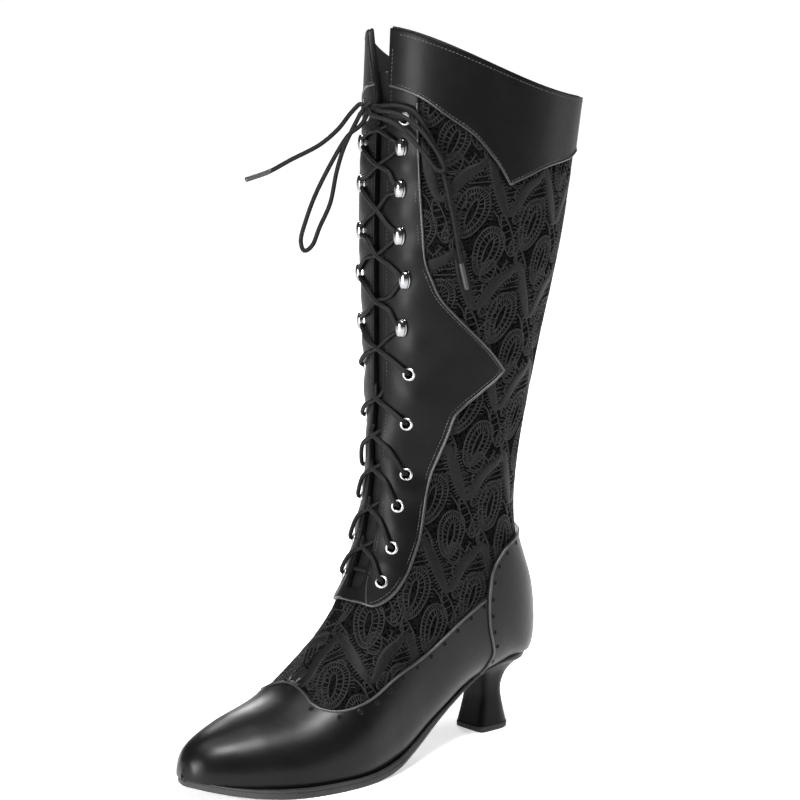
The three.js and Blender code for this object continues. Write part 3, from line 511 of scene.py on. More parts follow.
def throat_half(z, side):
    return np.interp(z, THROAT_Z, THROAT_LATERAL if side > 0 else THROAT_MEDIAL)


def d_throat(turn, p):
    half = np.where(p[..., 0] > 0, throat_half(p[..., 2], 1), throat_half(p[..., 2], -1))
    away = np.maximum(np.abs(p[..., 0]) - half, THROAT_Z[0] - p[..., 2])
    return np.where(np.cos(turn) > 0.2, away, FAR)


EYESTAY_LINE = np.vstack([through(EYESTAY_LOW), through(EYESTAY_HIGH)[1:]])
CUFF_LINE = np.vstack([through(CUFF_FRONT), through(CUFF_BACK)[1:]])


def eyestay_half(s):
    return np.interp(s, EYESTAY_LINE[:, 0], EYESTAY_LINE[:, 1], left=-1.0) * BALL_WIDTH


def cuff_low(share):
    return np.interp(share, CUFF_LINE[:, 0], CUFF_LINE[:, 1])


def d_eyestay(s, turn):
    distance = girth(s, turn)[0]
    away = eyestay_half(s) - np.abs(distance)
    return np.minimum(away, (s - EYESTAY_LINE[0, 0]) * MM_PER_LOW_SECTION)


def d_cuff(s, turn):
    distance, half = girth(s, turn)
    return (s - cuff_low(np.abs(distance) / half)) * MM_PER_SECTION


def covered_by(s, turn, p):
    """Distance inside the leather that lies over the cloth."""
    covered = np.maximum(d_vamp(p), d_counter(p))
    return np.maximum(covered, np.maximum(d_eyestay(s, turn), d_cuff(s, turn)))


# Meshes
def add_object(name, data):
    made = bpy.data.objects.new(name, data)
    bpy.context.scene.collection.objects.link(made)
    return made


def make_mesh(name, points, faces, material, replaces=()):
    mesh = bpy.data.meshes.new(name)
    mesh.from_pydata((np.asarray(points) * MM).tolist(), [], [list(map(int, f)) for f in faces])
    mesh.update()
    mesh.polygons.foreach_set("use_smooth", [True] * len(mesh.polygons))
    mesh.materials.append(material)
    piece = add_object(name, mesh)
    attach(piece, "root")
    if replaces:
        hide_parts(*replaces)
    return piece


def join_parts(parts):
    """One list of points and faces from several."""
    points = []
    faces = []
    start = 0
    for more_points, more_faces in parts:
        points.append(np.asarray(more_points, float))
        faces.extend([tuple(int(v) + start for v in face) for face in more_faces])
        start += len(more_points)
    return np.vstack(points), faces


def grid_faces(rows, columns, closed=False):
    faces = []
    wide = columns if closed else columns - 1
    for i in range(rows - 1):
        for j in range(wide):
            k = (j + 1) % columns
            faces.append((i * columns + j, i * columns + k, (i + 1) * columns + k, (i + 1) * columns + j))
    return faces


def snap_to_edge(S, T, D):
    """Moves grid places next to the edge on to it, so that the cut sheet's edge is a smooth line."""
    n, m = D.shape
    best = np.full(D.shape, 2.0)
    new_s = S.copy()
    new_t = T.copy()
    new_d = D.copy()
    for di, dj in ((0, 1), (1, 0)):
        a = (slice(0, n - di), slice(0, m - dj))
        b = (slice(di, n), slice(dj, m))
        cross = (D[a] > 0) != (D[b] > 0)
        part = np.where(cross, D[a] / np.where(cross, D[a] - D[b], 1), 9.0)
        for here, there, cost in ((a, b, part), (b, a, np.where(cross, 1 - part, 9.0))):
            take = (cost <= 0.5) & (cost < best[here])
            moved_s = S[here] + cost * (S[there] - S[here])
            moved_t = T[here] + cost * (T[there] - T[here])
            new_s[here] = np.where(take, moved_s, new_s[here])
            new_t[here] = np.where(take, moved_t, new_t[here])
            new_d[here] = np.where(take, 0.0, new_d[here])
            best[here] = np.where(take, cost, best[here])
    return new_s, new_t, new_d


ROUND_EDGE = ((0.16, -0.06), (0.30, -0.22), (0.36, -0.50), (0.36, -1.70))


def cut_sheet(s_values, turn_values, keep, offset, rim=ROUND_EDGE, inward=False):
    """Sheet over the boot where keep is above nought, with a rounded rim that falls from its edge."""
    S, T = np.meshgrid(s_values, turn_values, indexing="ij")
    D = keep(S, T, point_on(S, T))
    S, T, D = snap_to_edge(S, T, D)
    normals = normal_on(S, T).reshape(-1, 3)
    lift = offset(S, T) if callable(offset) else np.full(S.shape, float(offset))
    points = point_on(S, T).reshape(-1, 3) + normals * lift.reshape(-1, 1)
    good = (D >= 0).reshape(-1)
    columns = S.shape[1]
    faces = []
    for a, b, c, d in grid_faces(S.shape[0], columns):
        corners = [v for v in (a, b, c, d) if good[v]]
        if len(corners) >= 3:
            faces.append(tuple(corners))
    used = sorted({v for face in faces for v in face})
    place = {v: i for i, v in enumerate(used)}
    faces = [tuple(place[v] for v in face) for face in faces]
    points = points[used]
    normals = normals[used]
    if inward:
        faces = [face[::-1] for face in faces]
    if rim:
        points, faces = add_rim(points, normals, faces, rim)
    return points, faces


def add_rim(points, normals, faces, rim):
    edges = {}
    for face in faces:
        for a, b in zip(face, face[1:] + face[:1]):
            if (b, a) in edges:
                del edges[(b, a)]
            else:
                edges[(a, b)] = True
    outward = np.zeros(points.shape)
    for a, b in edges:
        along = points[b] - points[a]
        along /= np.linalg.norm(along) + 1e-9
        side = np.cross(along, normals[a])
        outward[a] += side
        outward[b] += side
    length = np.linalg.norm(outward, axis=1)
    rim_points = [i for i in range(len(points)) if length[i] > 1e-6]
    outward[rim_points] /= length[rim_points][:, None]
    layers = [{v: v for v in rim_points}]
    made = [points]
    count = len(points)
    for out, drop in rim:
        layers.append({v: count + k for k, v in enumerate(rim_points)})
        made.append(points[rim_points] + outward[rim_points] * out + normals[rim_points] * drop)
        count += len(rim_points)
    faces = list(faces)
    for upper, lower in zip(layers[:-1], layers[1:]):
        for a, b in edges:
            if a in upper and b in upper:
                faces.append((upper[b], upper[a], lower[a], lower[b]))
    return np.vstack(made), faces


def spread(from_s, to_s, turn, step):
    """Section numbers about a step apart, in millimetres, along the line at a turn."""
    fine = np.linspace(from_s, to_s, 400)
    length = walked(point_on(fine, turn))
    count = max(int(length[-1] / step), 2)
    return np.interp(np.linspace(0, length[-1], count + 1), length, fine)


def tube(points, radius, sides=8):
    """Points and faces of a round tube along a line."""
    points = np.asarray(points, float)
    radius = np.broadcast_to(np.asarray(radius, float), (len(points),))
    ahead = np.gradient(points, axis=0)
    ahead /= np.linalg.norm(ahead, axis=1, keepdims=True) + 1e-12
    up = np.cross(ahead[0], [0.3, 0.2, 1.0])
    rings = []
    for i, direction in enumerate(ahead):
        up = up - direction * np.dot(up, direction)
        up /= np.linalg.norm(up)
        side = np.cross(direction, up)
        angle = np.arange(sides) * 2 * np.pi / sides
        ring = points[i] + radius[i] * (np.cos(angle)[:, None] * up + np.sin(angle)[:, None] * side)
        rings.append(ring)
    faces = grid_faces(len(points), sides, closed=True)
    made = np.vstack(rings)
    last = (len(points) - 1) * sides
    faces.append(tuple(range(sides))[::-1])
    faces.append(tuple(last + k for k in range(sides)))
    return made, faces


# Materials
def grey(value):
    return (value, value, value)


def new_material(name, color, roughness, metallic=0.0, coat=0.0, coat_roughness=0.2, specular=0.5, ior=1.5):
    material = bpy.data.materials.new(name)
    material.use_nodes = True
    shader = material.node_tree.nodes["Principled BSDF"]
    shader.inputs["Base Color"].default_value = (*color, 1)
    shader.inputs["Roughness"].default_value = roughness
    shader.inputs["Metallic"].default_value = metallic
    shader.inputs["Coat Weight"].default_value = coat
    shader.inputs["Coat Roughness"].default_value = coat_roughness
    shader.inputs["Specular IOR Level"].default_value = specular
    shader.inputs["IOR"].default_value = ior
    return material


def node(material, kind, **values):
    made = material.node_tree.nodes.new(kind)
    for key, value in values.items():
        if key in made.inputs.keys():
            made.inputs[key].default_value = value
        else:
            setattr(made, key, value)
    return made


def link(material, a, output, b, socket):
    material.node_tree.links.new(a.outputs[output], b.inputs[socket])


def place_node(material, scale=(1, 1, 1)):
    coordinates = node(material, "ShaderNodeTexCoord")
    mapping = node(material, "ShaderNodeMapping", Scale=scale)
    link(material, coordinates, "Object", mapping, "Vector")
    return mapping


def vary_color(material, dark, light, scale, detail=3.0, low=0.35, high=0.65):
    shader = material.node_tree.nodes["Principled BSDF"]
    place = place_node(material)
    noise = node(material, "ShaderNodeTexNoise", Scale=scale, Detail=detail)
    ramp = node(material, "ShaderNodeValToRGB")
    ramp.color_ramp.elements[0].position = low
    ramp.color_ramp.elements[1].position = high
    ramp.color_ramp.elements[0].color = (*dark, 1)
    ramp.color_ramp.elements[1].color = (*light, 1)
    link(material, place, "Vector", noise, "Vector")
    link(material, noise, "Fac", ramp, "Fac")
    link(material, ramp, "Color", shader, "Base Color")


def vary_roughness(material, low, high, scale):
    shader = material.node_tree.nodes["Principled BSDF"]
    place = place_node(material)
    noise = node(material, "ShaderNodeTexNoise", Scale=scale, Detail=4.0)
    spread_out = node(material, "ShaderNodeMapRange")
    spread_out.inputs["To Min"].default_value = low
    spread_out.inputs["To Max"].default_value = high
    link(material, place, "Vector", noise, "Vector")
    link(material, noise, "Fac", spread_out, "Value")
    link(material, spread_out, "Result", shader, "Roughness")


def bump_from(material, heights):
    """Chained bumps: (height node, its output, strength, distance in metres)."""
    shader = material.node_tree.nodes["Principled BSDF"]
    before = None
    for source, output, strength, distance in heights:
        bump = node(material, "ShaderNodeBump", Strength=strength, Distance=distance)
        link(material, source, output, bump, "Height")
        if before:
            link(material, before, "Normal", bump, "Normal")
        before = bump
    link(material, before, "Normal", shader, "Normal")


def leather(name, dark, light, low, high, coat=0.03, grain=0.45, ior=1.22):
    material = new_material(name, light, 0.4, coat=coat, coat_roughness=0.22, ior=ior)
    vary_color(material, dark, light, 38, 3.0)
    vary_roughness(material, low, high, 160)
    place = place_node(material)
    pores = node(material, "ShaderNodeTexVoronoi", Scale=1500.0, feature="DISTANCE_TO_EDGE")
    fine = node(material, "ShaderNodeTexNoise", Scale=2600.0, Detail=3.0)
    waves = node(material, "ShaderNodeTexNoise", Scale=95.0, Detail=3.0)
    for texture in (pores, fine, waves):
        link(material, place, "Vector", texture, "Vector")
    bump_from(material, [
        (waves, "Fac", 0.30, 0.0006),
        (pores, "Distance", grain, 0.00006),
        (fine, "Fac", grain * 0.6, 0.00005),
    ])
    return material


# Leathers: darkest and lightest colour, smoothest and roughest place
LEATHER = leather("satin_leather", grey(0.0018), grey(0.0030), 0.28, 0.40)
SOFT_LEATHER = leather("facing_leather", grey(0.0015), grey(0.0026), 0.36, 0.48, coat=0.02, ior=1.17)
# Rolled edges and seam beads: a lighter copy of the leather, a painted highlight along the panels' edges
EDGE_HIGHLIGHT_LEATHER = leather("rolled_leather_painted_highlight", grey(0.010), grey(0.020), 0.30, 0.42, ior=1.45)
TONGUE_MATERIAL = leather("tongue_leather", grey(0.003), grey(0.005), 0.45, 0.6)
SOLE_MATERIAL = leather("sole_edge", grey(0.020), grey(0.030), 0.48, 0.62, coat=0.0, grain=0.15)
LINING_COLORS = ((0.008, 0.0075, 0.007), (0.014, 0.013, 0.012))
LINING = leather("lining_leather", *LINING_COLORS, 0.6, 0.75, coat=0.0, grain=0.2)


def cloth_material():
    material = new_material("net_cloth", grey(0.003), 0.9, specular=0.02)
    shader = material.node_tree.nodes["Principled BSDF"]
    place = place_node(material)
    net = node(material, "ShaderNodeTexVoronoi", Scale=430.0, feature="DISTANCE_TO_EDGE")
    weave = node(material, "ShaderNodeTexNoise", Scale=3000.0, Detail=2.0)
    ramp = node(material, "ShaderNodeValToRGB")
    ramp.color_ramp.elements[0].position = 0.12
    ramp.color_ramp.elements[1].position = 0.22
    ramp.color_ramp.elements[0].color = (*grey(0.0030), 1)
    ramp.color_ramp.elements[1].color = (*grey(0.0002), 1)
    link(material, place, "Vector", net, "Vector")
    link(material, place, "Vector", weave, "Vector")
    link(material, net, "Distance", ramp, "Fac")
    link(material, ramp, "Color", shader, "Base Color")
    invert = node(material, "ShaderNodeMapRange")
    invert.inputs["From Max"].default_value = 0.25
    invert.inputs["To Min"].default_value = 1.0
    invert.inputs["To Max"].default_value = 0.0
    link(material, net, "Distance", invert, "Value")
    bump_from(material, [(invert, "Result", 0.9, 0.0004), (weave, "Fac", 0.3, 0.0001)])
    return material


def thread_material(name, dark, light, roughness, scale, strength=0.6, shine=0.10):
    material = new_material(name, light, roughness, specular=shine)
    vary_color(material, dark, light, 600, 2.0)
    place = place_node(material)
    twist = node(material, "ShaderNodeTexNoise", Scale=scale, Detail=2.0)
    link(material, place, "Vector", twist, "Vector")
    bump_from(material, [(twist, "Fac", strength, 0.0002)])
    return material


CLOTH = cloth_material()
LACE_THREAD = thread_material("lace_thread", grey(0.0045), grey(0.0085), 0.5, 2600)
SATIN_THREAD = thread_material("satin_thread", grey(0.0024), grey(0.0046), 0.5, 3400)
CORD = thread_material("braided_cord", grey(0.0015), grey(0.0045), 0.55, 1800, strength=0.9, shine=0.12)
STITCH = thread_material("stitch_thread", grey(0.020), grey(0.050), 0.4, 3000)
AGLET = new_material("aglet", grey(0.007), 0.45, coat=0.05)
METAL = new_material("bright_nickel", (0.24, 0.244, 0.25), 0.16, metallic=1.0)
vary_roughness(METAL, 0.12, 0.22, 300)
DULL_METAL = new_material("dull_nickel", (0.34, 0.345, 0.35), 0.32, metallic=1.0)
vary_roughness(DULL_METAL, 0.26, 0.40, 300)
# Dark matte discs in the eyelets and the punched holes: painted shade inside the holes
PAINTED_HOLE_SHADE = new_material("painted_hole_shade", grey(0.003), 0.9, specular=0.1)


# Outsole: how far each line of its side lies inside the outline, and its share of the thickness
SOLE_PROFILE = (
    (0.45, 0.0), (0.10, 0.10), (0.0, 0.25), (0.0, 0.62), (0.05, 0.68),
    (0.42, 0.74), (0.42, 0.80), (0.08, 0.86), (0.02, 0.93), (0.20, 1.0),
)


def outline_halves(shares):
    rows = through(SOLE_OUTLINE)[::-1]
    lateral = np.interp(shares, rows[:, 0], rows[:, 1]) * BALL_WIDTH
    medial = np.interp(shares, rows[:, 0], rows[:, 2]) * BALL_WIDTH
    return lateral, medial


def build_outsole():
    low = SOLE_OUTLINE[-1][0]
    high = SOLE_OUTLINE[0][0]
    ease = 0.5 - 0.5 * np.cos(np.linspace(0, np.pi, 130))
    shares = low + (high - low) * ease
    lateral, medial = outline_halves(shares)
    y = forward_y(shares)
    loop_x = np.concatenate([lateral, medial[::-1]])
    loop_y = np.concatenate([y, y[::-1]])
    middle = np.concatenate([(lateral + medial) / 2, ((lateral + medial) / 2)[::-1]])
    under = sole_under(loop_y)
    height = sole_top(loop_y) - under
    ahead = np.gradient(np.column_stack([loop_x, loop_y]), axis=0)
    out = np.column_stack([ahead[:, 1], -ahead[:, 0]])
    out /= np.linalg.norm(out, axis=1, keepdims=True) + 1e-9
    if np.sum(out[:, 0] * (loop_x - middle)) < 0:
        out = -out
    rings = []
    for inset, share in SOLE_PROFILE:
        z = under + share * height
        rings.append(np.column_stack([loop_x - out[:, 0] * inset, loop_y - out[:, 1] * inset, z]))

    def shrunk(share, z):
        x = middle + (rings[0][:, 0] - middle) * share
        return np.column_stack([x, rings[0][:, 1], z])

    inner = [shrunk(share, sole_under(rings[0][:, 1])) for share in (0.02, 0.4, 0.75)]
    top = [shrunk(share, sole_top(rings[0][:, 1])) for share in (0.9, 0.5, 0.02)]
    every = inner + rings + top
    points = np.vstack(every)
    faces = grid_faces(len(every), len(loop_x), closed=True)
    make_mesh("boot_outsole", points, faces, SOLE_MATERIAL, ("outsole",))


# Heel and its tip
# The tip's lines: height and how far out
TIP_PROFILE = (
    (0.0, -0.5),
    (0.12, -0.05),
    (0.5, 0.35),
    (HEEL_TIP_THICKNESS - 0.4, 0.35),
    (HEEL_TIP_THICKNESS, 0.15),
)


def heel_ring(row, z, grow, count=96):
    half, front, back = (value * HEEL_TIP_WIDTH + grow for value in row[1:4])
    angle = np.arange(count) * 2 * np.pi / count
    c = np.cos(angle)
    q = np.sin(angle)
    power = np.where(c > 0, 2 / 7, 2 / 2.5)
    y = np.where(c > 0, -front, back) * np.abs(c) ** power
    x = np.sign(q) * half * np.abs(q) ** power
    return np.column_stack([x, y, np.full(count, z)])


def build_heel():
    rows = through(HEEL_ROWS, 7)
    rings = []
    for row in rows:
        ring = heel_ring(row, row[0] * HEEL_HEIGHT, 0)
        shares = (HEEL_BACK - ring[:, 1]) / FOOT_LENGTH
        lateral, medial = outline_halves(shares)
        ring[:, 0] = np.clip(ring[:, 0], medial + 0.6, lateral - 0.6)
        ring[:, 2] = np.minimum(ring[:, 2], sole_under(ring[:, 1]) - 0.02)
        rings.append(ring)
    points = np.vstack(rings)
    faces = [face[::-1] for face in grid_faces(len(rings), len(rings[0]), closed=True)]
    make_mesh("boot_heel", points, faces, SOFT_LEATHER, ("heel",))
    rings = [heel_ring(HEEL_ROWS[0], z, grow) for z, grow in TIP_PROFILE]
    centre_low = np.array([[0.0, 0.0, 0.0]])
    centre_high = np.array([[0.0, 0.0, HEEL_TIP_THICKNESS]])
    points = np.vstack(rings + [centre_low, centre_high])
    count = len(rings[0])
    faces = [face[::-1] for face in grid_faces(len(rings), count, closed=True)]
    low = len(rings) * count
    for j in range(count):
        k = (j + 1) % count
        faces.append((low, j, k))
        faces.append((low + 1, (len(rings) - 1) * count + k, (len(rings) - 1) * count + j))
    make_mesh("boot_heel_tip", points, faces, SOLE_MATERIAL, ("heel_tip",))


# Places of the eyelets and hooks
def lacing_place(row, side):
    s, share = row
    if side < 0 and row in HOOKS:
        share += MEDIAL_HOOK_OUT
    turn = turn_at(s, side * share * BALL_WIDTH)
    at, normal, up = frame_on(s, turn)
    away = np.cross(up, normal) * side
    if np.dot(away, point_on(s, turn + side * 0.02) - at) < 0:
        away = -away
    return {"at": at, "normal": normal, "up": up, "away": away}


PLACES = {(index, side): lacing_place(row, side) for index, row in enumerate(LACING) for side in (1, -1)}
EYELET_ROWS = list(range(len(EYELETS))) + [len(LACING) - 1]
HOOK_ROWS = list(range(len(EYELETS), len(EYELETS) + len(HOOKS)))


# Leather panels. How far the facings swell over each lacing row, and their soft creases: height as a share of
# BOOT_HEIGHT, turn, slope, half length, half width and depth in mm
PUCKERS = (0.75, 1.05, 0.65, 0.95)
FACING_CREASES = (
    (0.330, 0.75, 0.35, 22, 6.0, 0.50),
    (0.385, 0.55, -0.30, 18, 7.0, -0.45),
    (0.440, 0.80, 0.25, 24, 6.5, 0.45),
    (0.500, 0.70, -0.20, 20, 8.0, -0.40),
    (0.560, 0.85, 0.15, 24, 8.0, 0.40),
)
MM_PER_RADIAN = 45
# How far a panel runs on under the sole's edge and under the next panel
UNDER_SOLE = 0.4
UNDER_PANEL = 3.0


def facing_offset(s, turn):
    """The facings are drawn in a little round each eyelet and hook and swell between them."""
    points = point_on(s, turn)
    lift = np.full(s.shape, LEATHER_OUT + 0.12)
    for (index, side), place in PLACES.items():
        reach = points - place["at"]
        along = reach @ place["up"]
        out = reach @ place["away"]
        lift = lift - 0.3 * np.exp(-((along / 6.5) ** 2) - ((out - 1.0) / 6.5) ** 2)
        if index == len(LACING) - 1:
            continue
        half = 0.5 * np.linalg.norm(PLACES[(index + 1, side)]["at"] - place["at"])
        rise = PUCKERS[index % len(PUCKERS)]
        lift = lift + rise * np.exp(-(((along - half) / (0.62 * half)) ** 2) - ((out - 3.0) / 9.0) ** 2)
    for z, out, slope, length, wide, depth in FACING_CREASES:
        aside = (np.abs(turn) - out) * MM_PER_RADIAN
        rise = points[..., 2] - z * BOOT_HEIGHT - slope * aside
        lift = lift - depth * np.exp(-((rise / wide) ** 2) - ((aside / length) ** 2))
    return lift


def d_holes(p):
    best = np.full(p.shape[:-1], FAR)
    for index in EYELET_ROWS:
        for side in (1, -1):
            away = np.linalg.norm(p - PLACES[(index, side)]["at"], axis=-1)
            best = np.minimum(best, away - EYELET_HOLE - 0.55)
    return best


def build_panels():
    turns = np.linspace(-np.pi, np.pi, 230)
    s_foot = np.concatenate([spread(0.0, 4.0, 0.3, 1.1), spread(4.0, 9.4, 1.4, 1.3)[1:]])

    def keep_vamp(s, turn, p):
        return np.minimum(np.minimum(d_vamp(p), d_sole(p) + UNDER_SOLE), UNDER_PANEL - d_counter(p))

    points, faces = cut_sheet(s_foot, turns, keep_vamp, LEATHER_OUT)
    make_mesh("boot_vamp", points, faces, LEATHER, ("vamp",))

    s_heel = spread(5.0, 12.6, 3.0, 1.2)
    turns = np.linspace(0.9, 2 * np.pi - 0.9, 230)

    def keep_counter(s, turn, p):
        return np.minimum(d_counter(p), d_sole(p) + UNDER_SOLE)

    points, faces = cut_sheet(s_heel, turns, keep_counter, COUNTER_OUT)
    make_mesh("boot_counter", points, faces, LEATHER, ("counter",))

    s_stay = np.concatenate([spread(6.1, 12.6, 0.25, 1.0), spread(12.6, 15.75, 0.5, 1.3)[1:]])
    turns = np.linspace(-1.75, 1.75, 190)

    def keep_stay(s, turn, p):
        edge = np.minimum(d_eyestay(s, turn), UNDER_PANEL - d_cuff(s, turn))
        return np.minimum(np.minimum(edge, d_throat(turn, p)), d_holes(p))

    points, faces = cut_sheet(s_stay, turns, keep_stay, facing_offset)
    make_mesh("boot_eyestay", points, faces, SOFT_LEATHER, ("eyestay",))

    s_cuff = spread(15.15, 16.0, 0.5, 1.3)
    turns = np.linspace(0.0, 2 * np.pi, 300)

    def keep_cuff(s, turn, p):
        return np.minimum(d_cuff(s, turn), d_throat(wrap(turn), p))

    points, faces = cut_sheet(s_cuff, turns, keep_cuff, CUFF_OUT)
    make_mesh("boot_cuff", points, faces, SOFT_LEATHER, ("cuff",))


# Cloth body and lining
# The lining's rolled collar: section number and distance outwards
COLLAR_ROLL = (
    (LAST - 0.03, FABRIC_IN),
    (LAST + 0.004, FABRIC_IN + 0.05),
    (LAST + 0.012, -2.2),
    (LAST + 0.012, -1.4),
    (LAST + 0.004, -0.9),
    (LAST - 0.03, -0.8),
)


def build_body():
    s_body = np.concatenate([spread(3.4, 9.0, 1.2, 1.6), spread(9.0, 15.98, 1.6, 1.8)[1:]])
    turns = np.linspace(0.0, 2 * np.pi, 200)

    def keep_cloth(s, turn, p):
        return np.minimum(5.0 - covered_by(s, turn, p), d_throat(wrap(turn), p))

    points, faces = cut_sheet(s_body, turns, keep_cloth, FABRIC_OUT, rim=())
    make_mesh("boot_cloth", points, faces, CLOTH, ("upper",))

    s_in = np.concatenate([spread(1.2, 9.0, 1.2, 3.5), spread(9.0, 15.98, 1.6, 3.5)[1:]])

    def keep_lining(s, turn, p):
        return np.minimum(d_sole(p) + 2.0, d_throat(wrap(turn), p))

    points, faces = cut_sheet(s_in, turns, keep_lining, FABRIC_IN, rim=(), inward=True)
    first = turn_at(LAST, THROAT_WIDTH / 2)
    last = 2 * np.pi + turn_at(LAST, -float(throat_half(BOOT_HEIGHT, -1)))
    edge_turn = np.linspace(first, last, 220)
    roll = [surface(s, edge_turn, offset) for s, offset in COLLAR_ROLL]
    roll_faces = [face[::-1] for face in grid_faces(len(roll), len(edge_turn))]
    points, faces = join_parts([(points, faces), (np.vstack(roll), roll_faces)])
    make_mesh("boot_lining", points, faces, LINING)


# Lace: the side of the boot is laid flat, one repeat is drawn there and carried over the boot
SHEET_S = np.interp(np.linspace(0, 1, 44), [0, 0.45, 1], [3.0, 12.6, LAST])
SHEET_TURN = np.linspace(0.0, np.pi, 24)
SHEET_STEPS = 2500
REPEAT_START = np.array([-39.8, 335.5])
REPEAT_ALONG = np.array([38.6, -8.3])
REPEAT_DOWN = np.array([21.0, -58.5])
CORD_HALF = 0.52
CORD_HEIGHT = 0.55
BAR_HALF = 0.36
BAR_HEIGHT = 0.40
SATIN_HALF = 2.9
SATIN_HEIGHT = 0.5
# Sections of the ridges, shares of their half widths and heights
CORD_SHAPE = ((1.0, -0.15), (0.62, 0.78), (-0.62, 0.78), (-1.0, -0.15))
BAND_SHAPE = ((1.0, -0.1), (0.9, 0.55), (0.45, 0.9), (0.0, 1.0), (-0.45, 0.9), (-0.9, 0.55), (-1.0, -0.1))


def flatten(side):
    """Lays one side of the boot flat, its lengths kept nearly true, for a grid of places on it."""
    S, T = np.meshgrid(SHEET_S, SHEET_TURN * side, indexing="ij")
    points = surface(S, T, FABRIC_OUT)
    n, m = S.shape
    middle = m // 2
    front_way = unit(points[:, 0, 1:] - points[:, -1, 1:])
    steps = np.linalg.norm(np.diff(points, axis=1), axis=-1)
    walk = np.hstack([np.zeros((n, 1)), np.cumsum(steps, axis=1)])
    ahead = walk[:, middle:middle + 1] - walk
    flat = points[:, middle:middle + 1, 1:] + front_way[:, None, :] * ahead[..., None]
    ties = []
    for di, dj in ((0, 1), (1, 0), (1, 1), (1, -1)):
        a = (slice(0, n - di), slice(max(-dj, 0), m - max(dj, 0)))
        b = (slice(di, n), slice(max(dj, 0), m - max(-dj, 0)))
        ties.append((a, b, np.linalg.norm(points[a] - points[b], axis=-1)))
    for _ in range(SHEET_STEPS):
        move = np.zeros(flat.shape)
        count = np.zeros(S.shape)
        for a, b, rest in ties:
            apart = flat[b] - flat[a]
            length = np.linalg.norm(apart, axis=-1) + 1e-9
            pull = apart * (0.5 * (length - rest) / length)[..., None]
            move[a] += pull
            move[b] -= pull
            count[a] += 1
            count[b] += 1
        flat += move / count[..., None] * 1.6
    return S, T, flat


def blend(values, i, j):
    a = np.clip(i.astype(int), 0, values.shape[0] - 2)
    b = np.clip(j.astype(int), 0, values.shape[1] - 2)
    u = (i - a)[..., None]
    v = (j - b)[..., None]
    low = values[a, b] * (1 - v) + values[a, b + 1] * v
    high = values[a + 1, b] * (1 - v) + values[a + 1, b + 1] * v
    slope_i = high - low
    slope_j = (values[a, b + 1] - values[a, b]) * (1 - u) + (values[a + 1, b + 1] - values[a + 1, b]) * u
    return low * (1 - u) + high * u, slope_i, slope_j


def unflatten(targets, sheet):
    """Section, turn and truth of every flat place; truth is False off the sheet."""
    S, T, flat = sheet
    nodes = flat.reshape(-1, 2)
    nearest = np.zeros(len(targets), int)
    for start in range(0, len(targets), 4000):
        part = targets[start:start + 4000]
        gap = (part[:, None, 0] - nodes[None, :, 0]) ** 2 + (part[:, None, 1] - nodes[None, :, 1]) ** 2
        nearest[start:start + 4000] = np.argmin(gap, axis=1)
    i = (nearest // S.shape[1]).astype(float)
    j = (nearest % S.shape[1]).astype(float)
    for _ in range(8):
        at, along, across = blend(flat, i, j)
        error = targets - at
        area = along[:, 0] * across[:, 1] - along[:, 1] * across[:, 0]
        area = np.where(np.abs(area) < 1e-6, 1e-6, area)
        step_i = (error[:, 0] * across[:, 1] - error[:, 1] * across[:, 0]) / area
        step_j = (along[:, 0] * error[:, 1] - along[:, 1] * error[:, 0]) / area
        i = np.clip(i + np.clip(step_i, -1.5, 1.5), 0, S.shape[0] - 1.001)
        j = np.clip(j + np.clip(step_j, -1.5, 1.5), 0, S.shape[1] - 1.001)
    at, _, _ = blend(flat, i, j)
    good = np.linalg.norm(targets - at, axis=1) < 0.3
    both, _, _ = blend(np.stack([S, T], axis=-1), i, j)
    return both[:, 0], both[:, 1], good


def flat_line(points, step):
    return smooth_line(np.column_stack([points, np.zeros(len(points))]), step)[:, :2]


def oval(centre, wide, high, lean, count, pinch=0.22):
    """Egg shaped outline leaning towards the back of the boot."""
    t = np.linspace(0, 2 * np.pi, count + 1)
    x = 0.5 * wide * np.cos(t) * (1 + pinch * np.sin(t))
    y = 0.5 * high * np.sin(t)
    c, q = math.cos(lean), math.sin(lean)
    return np.column_stack([centre[0] + x * c + y * q, centre[1] - x * q + y * c])


def bars_between(outer, inner, every, start=0, stop=None):
    rows = range(start, stop if stop else len(outer) - 1, every)
    return [np.linspace(outer[k], inner[k], 4) for k in rows]


# Curls that join the petals: start, turn and end
CURLS = (
    ((-17.0, -41.0), (-19.5, -48.0), (-15.0, -53.0)),
    ((8.5, -37.0), (7.0, -32.5), (3.5, -28.0)),
    ((24.0, -36.0), (27.0, -33.0), (27.0, -26.5)),
    ((17.5, -54.0), (22.0, -50.0), (24.0, -44.0)),
    ((7.0, -58.0), (10.5, -61.0), (14.0, -57.0)),
    ((2.0, -20.0), (0.5, -16.5), (-2.5, -15.2)),
    ((-18.0, -17.0), (-21.5, -14.0), (-20.5, -9.5)),
)
# Petals and leaves of the repeat: centre from the zigzag's peak, width, height, lean in radians
PETALS = (
    ((-8.6, -29.5), 17.5, 29.0, 0.42),
    ((1.6, -50.5), 16.5, 27.5, 0.40),
)
LEAVES = (
    ((13.2, -42.5), 6.4, 24.0, -0.30),
    ((-14.8, -50.2), 5.6, 17.0, -0.25),
    ((19.5, -45.0), 5.2, 16.0, 0.55),
    ((20.2, -11.0), 8.0, 13.0, 0.5),
    ((20.4, -31.5), 5.0, 11.0, 0.75),
)
# Slanting ladders that fill the ground: start and end
FILLINGS = (
    ((-17.5, -20.0), (-19.5, -40.0)),
    ((-21.0, -27.0), (-22.0, -44.0)),
    ((3.0, -24.0), (2.0, -34.0)),
    ((11.5, -60.0), (14.5, -55.0)),
    ((23.5, -52.0), (25.5, -38.0)),
    ((15.5, -12.0), (12.5, -20.0)),
    ((30.5, -24.0), (28.5, -33.0)),
    ((-8.5, -8.5), (-11.5, -14.0)),
    ((9.0, -2.5), (13.0, -7.0)),
)


